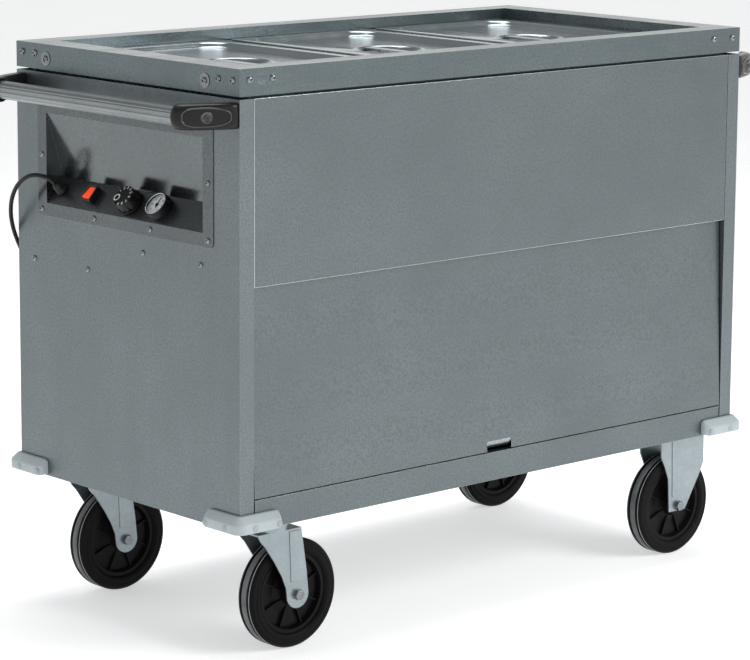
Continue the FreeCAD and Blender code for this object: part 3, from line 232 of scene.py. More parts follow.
def lit_lens():
    """Translucent orange-red cap with a lamp behind it."""
    material = plastic("red_lens", (0.85, 0.07, 0.015), (0.70, 0.05, 0.01), (0.18, 0.3),
                       900, 0.1, 60.0)
    shader = material.node_tree.nodes["Principled BSDF"]
    shader.inputs["Emission Color"].default_value = (1.0, 0.09, 0.015, 1)
    shader.inputs["Emission Strength"].default_value = 0.55
    shader.inputs["Coat Weight"].default_value = 0.5
    return material


def glass():
    material, tree, shader = blank("clear_glass")
    shader.inputs["Base Color"].default_value = (0.95, 0.97, 0.98, 1)
    shader.inputs["Transmission Weight"].default_value = 1.0
    shader.inputs["IOR"].default_value = 1.1
    smear = noise(tree, stretched(tree, (1, 1, 1)), 90.0, 3.0)
    tree.links.new(remap(tree, smear, 0.02, 0.09), shader.inputs["Roughness"])
    return material


# ------------------------------------------------------------------ piece building blocks
def dress(piece, material, body):
    """Give a new piece its finish and the body it rides on."""
    piece.data.materials.clear()
    piece.data.materials.append(MATERIALS[material])
    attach(piece, body)
    return piece


def smooth(mesh):
    for face in mesh.polygons:
        face.use_smooth = True


def linked(name, data):
    """A new object in the scene that shows its data."""
    item = bpy.data.objects.new(name, data)
    bpy.context.collection.objects.link(item)
    return item


def in_mm(points):
    """Millimetre pairs in metres."""
    return [(first * MM, second * MM) for first, second in points]


def join_rings(bm, rings):
    """Faces between each ring of vertices and the next, all of one length."""
    for first, second in zip(rings, rings[1:]):
        for index in range(len(first)):
            after = (index + 1) % len(first)
            bm.faces.new((first[index], first[after], second[after], second[index]))


def piece_from(bm, name):
    """Turn a finished bmesh into an object with its normals outwards."""
    bmesh.ops.recalc_face_normals(bm, faces=bm.faces)
    mesh = bpy.data.meshes.new(name)
    bm.to_mesh(mesh)
    bm.free()
    return linked(name, mesh)


def bevel(piece, width, segments=2, angle=28):
    """Rounded edges, with the big faces kept flat."""
    smooth(piece.data)
    edge = piece.modifiers.new("Bevel", "BEVEL")
    edge.width = width
    edge.segments = segments
    edge.limit_method = "ANGLE"
    edge.angle_limit = math.radians(angle)
    edge.use_clamp_overlap = True
    normals = piece.modifiers.new("Normals", "WEIGHTED_NORMAL")
    normals.keep_sharp = True
    return piece


# Sheets whose rounded edges get a painted highlight: their bevel faces take a much lighter
# steel.
HIGHLIGHT_PAINTED_EDGES = ("rim_frame", "upper_front_panel", "rear_panel", "service_door",
                "control_end_panel", "plain_end_panel", "base_tray", "control_housing")


def eased(node, width, material=None):
    """A copy of a CAD node with its edges rounded, in place of the sharp one."""
    bm = bmesh.new()
    bm.from_mesh(frame["nodes"][node].data)
    bmesh.ops.remove_doubles(bm, verts=bm.verts, dist=1e-6)
    bmesh.ops.dissolve_limit(bm, angle_limit=math.radians(0.4), verts=bm.verts,
                             edges=bm.edges)
    piece = piece_from(bm, node + "_eased")
    bevel(piece, width)
    dress(piece, material or SLOT_OF[node], BODY_OF[node])
    # Painted highlight: the bevel faces of these sheets take the very light steel.
    if node in HIGHLIGHT_PAINTED_EDGES:
        piece.data.materials.append(MATERIALS["painted_highlight_and_bezel_steel"])
        piece.modifiers["Bevel"].material = 1
    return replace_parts(piece, node)


def extruded(name, outline, to_world, depth):
    """A plate: an outline of (u, v) points and its depth along w, moved by a matrix."""
    bm = bmesh.new()
    low = [bm.verts.new(to_world @ Vector((u, v, 0))) for u, v in outline]
    high = [bm.verts.new(to_world @ Vector((u, v, depth))) for u, v in outline]
    bm.faces.new(low)
    bm.faces.new(high)
    join_rings(bm, (low, high))
    return piece_from(bm, name)


def turned(name, profile, to_world, steps):
    """A solid of revolution about w from (radius, height) points."""
    bm = bmesh.new()
    rings = []
    for radius, height in profile:
        if radius < 1e-7:
            rings.append([bm.verts.new(to_world @ Vector((0, 0, height)))])
            continue
        ring = []
        for step in range(steps):
            angle = 2 * math.pi * step / steps
            ring.append(bm.verts.new(to_world @ Vector((radius * math.cos(angle),
                                                        radius * math.sin(angle), height))))
        rings.append(ring)
    for lower, upper in zip(rings, rings[1:]):
        for step in range(steps):
            after = (step + 1) % steps
            corners = [lower[step % len(lower)], lower[after % len(lower)],
                       upper[after % len(upper)], upper[step % len(upper)]]
            unique = list(dict.fromkeys(corners))
            if len(unique) > 2:
                bm.faces.new(unique)
    piece = piece_from(bm, name)
    smooth(piece.data)
    return piece


def rounded_outline(width, height, radius, steps=6):
    """Corners of a rounded rectangle centred on zero."""
    points = []
    for quarter in range(4):
        cx = (width / 2 - radius) * (1 if quarter in (0, 3) else -1)
        cy = (height / 2 - radius) * (1 if quarter in (0, 1) else -1)
        for step in range(steps + 1):
            angle = math.pi / 2 * (quarter + step / steps)
            points.append((cx + radius * math.cos(angle), cy + radius * math.sin(angle)))
    return points


def basis(origin, u, v, w):
    """A matrix from local u, v, w to the world."""
    turn = Matrix((Vector(u), Vector(v), Vector(w))).transposed().to_4x4()
    return Matrix.Translation(Vector(origin)) @ turn


MATERIALS = make_materials()
# Finishes that differ from the node's material slot.
FINISH_OF_NODE = {"control_end_panel": "end_steel", "plain_end_panel": "end_steel",
                  "control_housing": "painted_shade_recess_steel", "well_tank": "pressed_steel",
                  "rim_frame": "rim_steel", "rigid_axles": "screw_steel",
                  "swivel_axle_front": "screw_steel", "swivel_axle_rear": "screw_steel"}
for name, obj in frame["nodes"].items():
    obj.data.materials.clear()
    obj.data.materials.append(MATERIALS[FINISH_OF_NODE.get(name, SLOT_OF[name])])

# ------------------------------------------------------------------ the camera and the room
CAMERA_AT = Vector((-3.880, -4.287, 1.591))
CAMERA_TURN = -0.7314
CAMERA_DROP = 0.1655
CAMERA_ROLL = 0.0065
FOCAL_LENGTH = 147.0
FRAME_SHIFT = -0.10


def make_camera():
    data = bpy.data.cameras.new("camera")
    data.lens = FOCAL_LENGTH
    data.sensor_width = 36.0
    data.shift_y = FRAME_SHIFT
    data.clip_end = 60
    camera = linked("camera", data)
    back = Vector((math.sin(CAMERA_TURN) * math.cos(CAMERA_DROP),
                   -math.cos(CAMERA_TURN) * math.cos(CAMERA_DROP), math.sin(CAMERA_DROP)))
    right = Vector((0, 0, 1)).cross(back).normalized()
    up = back.cross(right)
    right, up = (right * math.cos(CAMERA_ROLL) + up * math.sin(CAMERA_ROLL),
                 up * math.cos(CAMERA_ROLL) - right * math.sin(CAMERA_ROLL))
    camera.matrix_world = basis(CAMERA_AT, right, up, back)
    bpy.context.scene.camera = camera


def area_light(name, at, target, width, height, power):
    data = bpy.data.lights.new(name, "AREA")
    data.shape = "RECTANGLE"
    data.size = width
    data.size_y = height
    data.energy = power
    lamp = linked(name, data)
    lamp.location = at
    lamp.rotation_euler = (Vector(target) - Vector(at)).to_track_quat("-Z", "Y").to_euler()


def make_sky():
    """A sky for the metal to mirror: white near the horizon and below, grey above."""
    world = bpy.data.worlds.new("studio")
    bpy.context.scene.world = world
    world.use_nodes = True
    sky = world.node_tree.nodes["Background"]
    sky.inputs["Strength"].default_value = 1.05
    tree = world.node_tree
    place = tree.nodes.new("ShaderNodeTexCoord")
    split = tree.nodes.new("ShaderNodeSeparateXYZ")
    ramp = tree.nodes.new("ShaderNodeValToRGB")
    stops = ramp.color_ramp.elements
    stops[0].position, stops[0].color = 0.27, (1, 1, 1, 1)
    stops[1].position, stops[1].color = 0.97, (0.40, 0.41, 0.42, 1)
    for position, level in ((0.44, 0.34), (0.68, 0.28), (0.84, 0.30)):
        stop = stops.new(position)
        stop.color = (level, level * 1.02, level * 1.04, 1)
    tree.links.new(place.outputs["Generated"], split.inputs["Vector"])
    tree.links.new(split.outputs["Z"], ramp.inputs["Fac"])
    tree.links.new(ramp.outputs["Color"], sky.inputs["Color"])


def make_floor():
    """Pale, faintly mottled paper, lit a little from itself so that it stays white."""
    floor_material, tree, shader = blank("floor_paper")
    shader.inputs["Roughness"].default_value = 0.8
    mottle = noise(tree, stretched(tree, (1, 1, 1)), 3.0, 4.0)
    tone = blend_colours(tree, remap(tree, mottle, 0.0, 1.0), (0.93, 0.93, 0.93),
                         (0.90, 0.90, 0.90))
    tree.links.new(tone, shader.inputs["Base Color"])
    shader.inputs["Emission Color"].default_value = (1, 1, 1, 1)
    shader.inputs["Emission Strength"].default_value = 0.46
    bm = bmesh.new()
    bmesh.ops.create_grid(bm, x_segments=4, y_segments=4, size=14)
    floor = piece_from(bm, "studio_floor")
    floor.data.materials.append(floor_material)


def make_room():
    make_sky()
    make_floor()
    area_light("key_light", (2.2, -4.5, 3.6), (0, 0, 0.6), 3.0, 2.0, 150)
    area_light("top_light", (0.3, 0.6, 4.2), (0, 0, 1.0), 3.2, 2.0, 110)
    bpy.context.scene.view_settings.view_transform = "Standard"


# ------------------------------------------------------------------ lids
RING_STEPS = 17
# From the hem inwards: inset from the edge, height from the top and corner radius.
LID_RINGS_MM = [(0, -2.4, 14), (0, -0.9, 14), (0.3, -0.25, 14), (0.9, 0, 13.5), (20.5, 0, 45),
                (22, -0.3, 45), (23.3, -1.2, 45), (24.6, -3.2, 45), (26.2, -6.6, 45),
                (27.4, -8.7, 45), (29, -9.7, 45), (31.5, -10, 45), (38, -10, 45)]
# The round hand recess: radius and height from the top.
GRIP_RINGS_MM = [(70, -10), (68.5, -9.3), (66.6, -8.8), (64.8, -9.1), (63.4, -10.2),
                 (61.6, -12.5), (58.5, -18), (55.5, -23.5), (52, -27.2), (46, -28.4),
                 (20, -28.5)]


def pressed_lid(number):
    """Pressed sheet: hem, flat border, rounded step, panel, beaded round hand recess."""
    low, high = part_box(f"lid_{number}")
    middle = (low + high) / 2
    width, length = high.x - low.x, high.y - low.y
    bm = bmesh.new()
    rings = []
    for inset, drop, radius in LID_RINGS_MM:
        outline = rounded_outline(width - 2 * inset * MM, length - 2 * inset * MM,
                                  radius * MM, RING_STEPS)
        rings.append([bm.verts.new((middle.x + u, middle.y + v, high.z + drop * MM))
                      for u, v in outline])
    count = len(rings[0])
    for radius, drop in GRIP_RINGS_MM:
        ring = []
        for step in range(count):
            angle = 2 * math.pi * (step + 0.5) / count
            ring.append(bm.verts.new((middle.x + radius * MM * math.cos(angle),
                                      middle.y + radius * MM * math.sin(angle),
                                      high.z + drop * MM)))
        rings.append(ring)
    join_rings(bm, rings)
    bm.faces.new(rings[-1])
    lid = piece_from(bm, f"lid_{number}_pressed")
    smooth(lid.data)
    sheet = lid.modifiers.new("Sheet", "SOLIDIFY")
    sheet.thickness = 0.8 * MM
    sheet.offset = -1
    # The lids' lighter tone is painted light falling on them from above.
    dress(lid, "pressed_steel", f"lid_{number}")
    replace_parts(lid, f"lid_{number}")


# ------------------------------------------------------------------ push bar brackets
HALF_LENGTH_MM = 630
BRACKET_LEVEL_MM = 970.5
BRACKET_HALF_HEIGHT = 22.5
# Across the bracket from the panel to the bar: inner point, outer point (outboard, y from
# the middle), and how square the section is there.
BRACKET_STATIONS = [((0, 292), (0, 320), 5), ((12, 288), (12, 319), 5),
                    ((26, 283), (34, 309.5), 5), ((42, 276), (54, 301), 4.5),
                    ((53, 270), (72, 292), 3.6), ((59, 265.5), (85, 282.5), 2.8),
                    ((61.5, 262), (93.5, 273), 2.3), ((62, 260), (97.4, 265.5), 2.1),
                    ((62, 258), (98, 258), 2)]
SECTION_STEPS = 40
STATION_STEPS = 5
# The mouth that the bar goes into: half width, half height and depth of each step.
MOUTH_MM = ((17.2, 19.5, 0), (16.8, 17.2, 0.6), (16.6, 16.8, 5))
MOUTH_X_MM, MOUTH_Y_MM = 79.4, 258
# The bead runs in an oval between two stations; its power makes the oval squarer.
OVAL_FROM, OVAL_TO, OVAL_HALF, OVAL_POWER = 1.15, 5.45, 15.5, 0.75
BEAD_STEPS = 72
WELL_PROFILE_MM = [(10.6, -0.4), (10, 0.9), (8.6, 1.0), (7.4, 0.1), (0, 0.1)]
CAP_SCREW_MM = [(4.4, 0.15), (4.4, 0.8), (3.8, 1.1), (2.2, 1.1), (2.0, 0.4), (0, 0.4)]
# The screw stands at one station, square to the line towards the other.
SCREW_STATION, AHEAD_STATION = 3.0, 3.4


def between(values, place):
    """Catmull-Rom interpolation of a list of vectors."""
    last = len(values) - 1
    index = min(int(place), last - 1)
    t = place - index
    a, b = values[max(index - 1, 0)], values[index]
    c, d = values[index + 1], values[min(index + 2, last)]
    return b + 0.5 * t * (c - a + t * (2 * a - 5 * b + 4 * c - d + t * (3 * (b - c) + d - a)))


def bracket_point(place, across, up):
    """A point of the section at a station; across and up run from -1 to 1."""
    inner = between([Vector(station[0]) for station in BRACKET_STATIONS], place)
    outer = between([Vector(station[1]) for station in BRACKET_STATIONS], place)
    spot = (inner + outer) / 2 + (outer - inner) / 2 * across
    return Vector((spot.x, spot.y, BRACKET_HALF_HEIGHT * up))


def squareness(place):
    """How square the section is at a place: 2 is an ellipse."""
    return between([Vector((station[2], 0)) for station in BRACKET_STATIONS], place).x


def power(value, exponent):
    """A power that keeps the sign."""
    return math.copysign(abs(value) ** exponent, value)


def make_bracket(end, side):
    """Moulded end of a push bar, its oval bead, screw well and cap screw."""
    name = f"bracket_{'left' if end < 0 else 'right'}_{'front' if side < 0 else 'rear'}"

    def world(point):
        return Vector((end * (HALF_LENGTH_MM + point.x), side * point.y,
                       BRACKET_LEVEL_MM + point.z)) * MM

    bm = bmesh.new()
    rings = []
    count = (len(BRACKET_STATIONS) - 1) * STATION_STEPS
    for step in range(count + 1):
        place = step / STATION_STEPS
        exponent = 2 / squareness(place)
        ring = []
        for turn in range(SECTION_STEPS):
            angle = 2 * math.pi * turn / SECTION_STEPS
            ring.append(bm.verts.new(world(bracket_point(
                place, power(math.cos(angle), exponent), power(math.sin(angle), exponent)))))
        rings.append(ring)
    for wide, tall, depth in MOUTH_MM:
        ring = []
        for turn in range(SECTION_STEPS):
            angle = 2 * math.pi * turn / SECTION_STEPS
            ring.append(bm.verts.new(world(Vector((MOUTH_X_MM + wide * math.cos(angle),
                                                   MOUTH_Y_MM + depth,
                                                   tall * math.sin(angle))))))
        rings.append(ring)
    join_rings(bm, rings)
    bm.faces.new(rings[0])
    bm.faces.new(rings[-1])
    body = piece_from(bm, name)
    smooth(body.data)
    dress(body, "black_plastic", "cabinet")

    bead = bpy.data.curves.new(name + "_bead", "CURVE")
    bead.dimensions = "3D"
    bead.bevel_depth = 1.5 * MM
    bead.bevel_resolution = 3
    spline = bead.splines.new("POLY")
    spline.points.add(BEAD_STEPS - 1)
    for index, point in enumerate(spline.points):
        angle = 2 * math.pi * index / BEAD_STEPS
        place = (OVAL_FROM + OVAL_TO) / 2 + (OVAL_TO - OVAL_FROM) / 2 * power(
            math.cos(angle), OVAL_POWER)
        up = OVAL_HALF / BRACKET_HALF_HEIGHT * power(math.sin(angle), OVAL_POWER)
        across = (1 - abs(up) ** squareness(place)) ** (1 / squareness(place))
        point.co = (*world(bracket_point(place, across, up)), 1)
    spline.use_cyclic_u = True
    dress(linked(name + "_bead", bead), "gloss_black", "cabinet")

    here, ahead = (world(bracket_point(station, 1, 0))
                   for station in (SCREW_STATION, AHEAD_STATION))
    along = (ahead - here).normalized()
    out = Vector((along.y, -along.x, 0))
    if out.y * side < 0:
        out = -out
    face = basis(here + out * 0.1 * MM, along, out.cross(along), out)
    cup = turned(name + "_well", in_mm(WELL_PROFILE_MM), face, 32)
    dress(cup, "gloss_black", "cabinet")
    head = turned(name + "_screw", in_mm(CAP_SCREW_MM), face, 24)
    dress(head, "black_screw", "cabinet")
    return body


# ------------------------------------------------------------------ corner bumpers
HALF_WIDTH_MM = 322.5
# Section of a leg: distance out from the cabinet and height above the floor.
BUMPER_PROFILE_MM = [(0, 278), (5.5, 278), (7.5, 277.2), (17.6, 267), (19, 264.5),
                     (19.3, 262), (19.3, 251), (18.6, 249), (17, 248), (0, 248)]
BUMPER_MIDDLE_MM = 262
BUMPER_STRAIGHT_MM = 85
CORNER_STEPS = 10
# From a leg's free end: distance along it, and how far the section has grown out and up.
BUMPER_NOSE = ((0, 0.35, 0.6), (2, 0.62, 0.84), (5.5, 0.86, 0.96), (11, 1, 1), (60, 1, 1))
BUMPER_FACE_MM, BUMPER_END_FACE_MM = 341.6, 19.1
CAP_LEVEL_MM = 256.8
CAP_PROFILE_MM = [(6.2, 0), (6.2, 0.6), (5.6, 0.8), (5.0, 0.4), (4.6, 0.8), (0, 0.8)]


def make_bumper(sx, sy):
    """Moulded corner buffer: sloped top, rounded corner and nosed ends."""
    corner = Vector((HALF_LENGTH_MM, HALF_WIDTH_MM))
    stations = []
    for along, reach, tall in BUMPER_NOSE:
        stations.append((corner + Vector((along - BUMPER_STRAIGHT_MM, 0)), 90, reach, tall))
    for step in range(CORNER_STEPS + 1):
        stations.append((corner, 90 - 90 * step / CORNER_STEPS, 1, 1))
    for along, reach, tall in reversed(BUMPER_NOSE):
        stations.append((corner + Vector((0, along - BUMPER_STRAIGHT_MM)), 0, reach, tall))
    bm = bmesh.new()
    rings = []
    for foot, heading, reach, tall in stations:
        out = Vector((math.cos(math.radians(heading)), math.sin(math.radians(heading))))
        ring = []
        for distance, level in BUMPER_PROFILE_MM:
            spot = foot + out * distance * reach
            height = BUMPER_MIDDLE_MM + (level - BUMPER_MIDDLE_MM) * tall
            ring.append(bm.verts.new(Vector((sx * spot.x, sy * spot.y, height)) * MM))
        rings.append(ring)
    join_rings(bm, rings)
    bm.faces.new(rings[0])
    bm.faces.new(rings[-1])
    bmesh.ops.remove_doubles(bm, verts=bm.verts, dist=1e-5)
    name = f"bumper_{'left' if sx < 0 else 'right'}_{'front' if sy < 0 else 'rear'}"
    bumper = piece_from(bm, name)
    bevel(bumper, 0.8 * MM, 2, 40)
    dress(bumper, "grey_plastic", "cabinet")
    for index, (along, on_side) in enumerate(((12, True), (66, True), (12, False),
                                              (66, False))):
        if on_side:
            spot = (sx * (HALF_LENGTH_MM - BUMPER_STRAIGHT_MM + along) * MM,
                    sy * BUMPER_FACE_MM * MM)
            out = Vector((0, sy, 0))
        else:
            spot = (sx * (HALF_LENGTH_MM + BUMPER_END_FACE_MM) * MM,
                    sy * (HALF_WIDTH_MM - BUMPER_STRAIGHT_MM + along) * MM)
            out = Vector((sx, 0, 0))
        face = basis((*spot, CAP_LEVEL_MM * MM), out.cross(Vector((0, 0, 1))), (0, 0, 1), out)
        # The caps' darker grey is painted shade for the groove round them.
        cap = turned(f"{name}_cap_{index}", in_mm(CAP_PROFILE_MM), face, 28)
        dress(cap, "painted_shade_cap_plastic", "cabinet")
    return bumper


# ------------------------------------------------------------------ push bars
BAR_X = 0.708
BAR_STEPS = 120
BAR_RADIUS_MM, GROOVE_RADIUS_MM = 16.5, 15.3


def ribbed_bar(end):
    """Drawn aluminium tube with fine grooves along it."""
    low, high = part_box("push_bars")
    face = basis((end * BAR_X, low.y, BRACKET_LEVEL_MM * MM), (1, 0, 0), (0, 0, 1), (0, 1, 0))
    outline = []
    for step in range(BAR_STEPS):
        angle = 2 * math.pi * (step - 0.5) / BAR_STEPS
        radius = (GROOVE_RADIUS_MM if step % 10 < 3 else BAR_RADIUS_MM) * MM
        outline.append((radius * math.cos(angle), radius * math.sin(angle)))
    bar = extruded(f"push_bar_{'left' if end < 0 else 'right'}", outline, face,
                   high.y - low.y)
    bevel(bar, 0.2 * MM, 1, 25)
    return dress(bar, "bar_aluminium", "cabinet")


# ------------------------------------------------------------------ casters
CASTER_AXLES = (("swivel", -0.463), ("rigid", 0.530))
CASTER_Y = 0.250
AXLE_LEVEL = 0.100
WHEEL_STEPS = 120
TYRE_SIDE_MM = [(74, 16), (80, 20), (85, 20), (86, 19.5), (90.5, 19.9)]
SHOULDER_MM = 9
# Where each painted highlight mark starts across the tread, its width and its material.
TREAD_MARKS_MM = ((-6.6, 13.2, "painted_highlight_band"), (-14.5, 1.6, "painted_highlight_line"),
                  (12.9, 1.6, "painted_highlight_line"))
MARK_FOOT_MM, MARK_TOP_MM, MARK_SLOPE_MM = 99.0, 99.95, 0.3
SWIVEL_PANEL_MM = [(-20, 118), (5, 118), (17, 44), (19, 24), (-16, 24)]
RIGID_PANEL_MM = [(-21, 138), (64, 138), (64, 82), (56, 62), (22, 18), (-18, 18)]
LEG_FACE_MM = 30


def caster_faces():
    """Each wheel's kind, its place and a matrix with w along its axle."""
    for kind, axle_x in CASTER_AXLES:
        for side, place in ((-1, "front"), (1, "rear")):
            yield kind, place, basis((axle_x, side * CASTER_Y, AXLE_LEVEL),
                                     (1, 0, 0), (0, 0, 1), (0, 1, 0))


def tyre_profile():
    """Half a section from the bead to the middle of the tread, then the other half."""
    half = list(TYRE_SIDE_MM)
    for step in range(9):
        angle = math.pi / 2 * step / 8
        half.append((91 + SHOULDER_MM * math.sin(angle), 11 + SHOULDER_MM * math.cos(angle)))
    half += [(100, 9.7), (99.4, 9.4), (97.5, 9.2), (97.5, 7.4), (98.9, 7.1), (99.3, 6.8)]
    section = half + [(radius, -height) for radius, height in reversed(half)]
    return in_mm(section + section[:1])


def make_tyres():
    """Tyres whose middle lies just under the painted highlight band."""
    for kind, place, face in caster_faces():
        tyre = turned(f"tyre_body_{kind}_{place}", tyre_profile(), face, WHEEL_STEPS)
        dress(tyre, "tyre_rubber", f"{kind}_wheel_{place}")
        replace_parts(tyre, f"tyre_{kind}_{place}")


def tread_marks():
    """Painted highlights on each tread: a wide band in the middle and two thin lines beside
    it.
    """
    for kind, place, face in caster_faces():
        for mark, (start, width, material) in enumerate(TREAD_MARKS_MM):
            profile = [(MARK_FOOT_MM, start), (MARK_TOP_MM, start + MARK_SLOPE_MM),
                       (MARK_TOP_MM, start + width - MARK_SLOPE_MM),
                       (MARK_FOOT_MM, start + width)]
            band = turned(f"tread_{kind}_{place}_{mark}", in_mm(profile), face, WHEEL_STEPS)
            dress(band, material, f"{kind}_wheel_{place}")


def fork_presses():
    """The raised fields pressed into the forks' legs."""
    for front, place in ((-1, "front"), (1, "rear")):
        for (kind, axle_x), outline, body in zip(CASTER_AXLES,
                                                 (SWIVEL_PANEL_MM, RIGID_PANEL_MM),
                                                 (f"swivel_{place}", "cabinet")):
            for side in (-1, 1):
                y = front * CASTER_Y + side * LEG_FACE_MM * MM
                face = basis((axle_x, y, AXLE_LEVEL), (1, 0, 0), (0, 0, 1), (0, side, 0))
                field = extruded(f"{kind}_press_{place}_{'out' if side == front else 'in'}",
                                 in_mm(outline), face, 1.4 * MM)
                bevel(field, 1.2 * MM, 3)
                dress(field, "zinc_steel", body)


# ------------------------------------------------------------------ door and rim details
LIP_LEFT, LIP_WIDTH = -0.042, 65 * MM
DIMPLE_X, DIMPLE_LEVEL = -0.583, 1.031


def door_grip():
    """The folded lip inside the finger notch at the foot of the door; its lighter bright steel
    is a painted highlight in the notch.
    """
    face = basis((LIP_LEFT, 0, 0), (0, 1, 0), (0, 0, 1), (1, 0, 0))
    outline = [(-321.3, 321.5), (-320.6, 316), (-317.5, 310.5), (-311, 306), (-310.3, 306.9),
               (-316.7, 311.3), (-319.6, 316.3), (-320.2, 321.5)]
    lip = extruded("door_grip_lip", in_mm(outline), face, LIP_WIDTH)
    bevel(lip, 0.2 * MM, 1)
    dress(lip, "bright_steel", "service_door")


def rim_dimple():
    """Small pressed dimple over the weld between the two left rim screws."""
    low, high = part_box("rim_frame")
    face = basis((DIMPLE_X, low.y, DIMPLE_LEVEL), (1, 0, 0), (0, 0, 1), (0, -1, 0))
    profile = [(11, -0.1), (8, 0.35), (4, 0.75), (0, 0.85)]
    dimple = turned("rim_dimple", in_mm(profile), face, 32)
    dress(dimple, "rim_steel", "cabinet")


# ------------------------------------------------------------------ controls
OUTWARD = Vector((-44, 0, 37)).normalized()
UP_SLOPE = Vector((37, 0, 44)).normalized()
STRIP_MIDDLE = Vector((-0.6115, 0, 0.782))
GLAND_Y, SWITCH_Y, KNOB_Y, DIAL_Y = 0.207, 0.114, 0.0, -0.086
KNOB_TOP = 27.0 * MM
NUMBER_RADIUS = 17 * MM
NUMBER_HEIGHT = 8.2 * MM
SWITCH_FACE = 13.9 * MM
DIAL_FACE = 15.05 * MM
DIAL_RIM = 20 * MM
DIAL_TICKS = 24
DIAL_NUMBER_RADIUS = 13.4 * MM
TICK_OUTER = 20.6 * MM


def strip_face(y, height):
    """A matrix for a face that lies above the control strip: u to the viewer's right."""
    origin = STRIP_MIDDLE + Vector((0, y, 0)) + OUTWARD * height
    return basis(origin, (0, -1, 0), UP_SLOPE, OUTWARD)


def lettering(name, text, face, u, v, height, material, body, turn=0.0):
    """Generic numbers, standing 0.1 mm out of a face."""
    curve = bpy.data.curves.new(name, "FONT")
    curve.body = text
    curve.size = height
    curve.align_x = "CENTER"
    curve.align_y = "CENTER"
    curve.extrude = 0.08 * MM
    curve.resolution_u = 3
    item = linked(name, curve)
    item.matrix_world = face @ Matrix.Translation((u, v, 0.1 * MM)) @ Matrix.Rotation(
        turn, 4, "Z")
    dress(item, material, body)


def knob_markings():
    """Numbers round the knob's face and a pointer ring on its left."""
    face = strip_face(KNOB_Y, KNOB_TOP - 0.05 * MM)
    for number in range(9):
        angle = math.radians(150 - 30 * number)
        lettering(f"knob_number_{number}", str(number + 1), face,
                  NUMBER_RADIUS * math.cos(angle), NUMBER_RADIUS * math.sin(angle),
                  NUMBER_HEIGHT, "marking_white", "knob",
                  angle - math.pi / 2)
    lettering("knob_zero", "O", face, -13.5 * MM, -6 * MM, 20 * MM, "marking_white", "knob",
              0.6)


def dial_markings():
    """Scale ticks and numbers on the thermometer's dial."""
    face = strip_face(DIAL_Y, DIAL_FACE)
    for tick in range(DIAL_TICKS + 1):
        angle = math.radians(225 - 270 * tick / DIAL_TICKS)
        long_tick = tick % 4 == 0
        inner = (17.2 if long_tick else 18.6) * MM
        half = (0.45 if long_tick else 0.25) * MM
        turn = Matrix.Rotation(angle, 4, "Z")
        outline = [(inner, -half), (TICK_OUTER, -half), (TICK_OUTER, half), (inner, half)]
        tick_piece = extruded(f"dial_tick_{tick}", outline, face @ turn, 0.12 * MM)
        dress(tick_piece, "knob_plastic", "cabinet")
        if long_tick:
            lettering(f"dial_number_{tick}", str(tick * 5), face,
                      DIAL_NUMBER_RADIUS * math.cos(angle),
                      DIAL_NUMBER_RADIUS * math.sin(angle), 4.4 * MM, "knob_plastic",
                      "cabinet")


def dial_ring():
    """Thin ring that holds the dial's glass, in very light steel: its own bright metal and a
    painted highlight.
    """
    profile = [(20.6, 0), (20.8, 0.6), (21.6, 0.8), (22.3, 0.5), (22.4, 0)]
    ring = turned("dial_ring", in_mm(profile), strip_face(DIAL_Y, DIAL_RIM), 64)
    dress(ring, "painted_highlight_and_bezel_steel", "cabinet")


def switch_surround():
    """Moulded rim that stands round the rocker."""
    face = strip_face(SWITCH_Y, SWITCH_FACE)
    outer = rounded_outline(25 * MM, 33 * MM, 2.5 * MM, 4)
    inner = rounded_outline(19.5 * MM, 27.5 * MM, 1 * MM, 4)
    bm = bmesh.new()
    rings = [[bm.verts.new(face @ Vector((u, v, height))) for u, v in outline]
             for outline, height in ((outer, -1 * MM), (outer, 0.6 * MM),
                                     (inner, 0.6 * MM), (inner, -1 * MM))]
    join_rings(bm, rings + rings[:1])
    surround = piece_from(bm, "switch_surround")
    bevel(surround, 0.2 * MM)
    dress(surround, "gloss_black", "cabinet")


def gland_dome():
    """Domed nut of the cable gland, open where the lead comes out."""
    face = strip_face(GLAND_Y, 1 * MM)
    profile = [(11, 0), (11.6, 0.6), (11.6, 6.4), (11, 7), (10.2, 7), (10.2, 12), (9.6, 16),
               (8.0, 20), (5.8, 23.2), (4.6, 24), (4.1, 24), (4.1, 18)]
    dome = turned("gland_dome", in_mm(profile), face, 40)
    dress(dome, "black_plastic", "cabinet")
    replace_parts(dome, "cable_gland")


# ------------------------------------------------------------------ the mains lead
CORD_DIAMETER = 8 * MM
CORD_EXIT_HEIGHT = 25
# Round the cabinet's rear corner and down to the coil.
CORD_POINTS = [(-0.6404, 0.207, 0.8069), (-0.6512, 0.213, 0.8124), (-0.6595, 0.224, 0.8146),
               (-0.6655, 0.240, 0.8115), (-0.668, 0.259, 0.8015), (-0.667, 0.280, 0.784),
               (-0.6615, 0.301, 0.759), (-0.6505, 0.319, 0.730), (-0.636, 0.332, 0.700),
               (-0.619, 0.340, 0.670), (-0.600, 0.3435, 0.640), (-0.583, 0.342, 0.610),
               (-0.5715, 0.340, 0.579)]
COIL_CENTRE = Vector((-0.510, 0.337, 0.545))
COIL_RADIUS = 0.048
COIL_TURNS = 5
POINTS_PER_TURN = 15
TIE_STEPS = 28
SLOT_RADIUS = 8.2 * MM
SLOT_ADVANCE = math.radians(60)
TAIL_POINTS = [(-0.5625, 0.3285, 0.535), (-0.562, 0.3283, 0.523), (-0.5605, 0.3315, 0.511),
               (-0.5587, 0.3375, 0.502), (-0.558, 0.341, 0.492)]


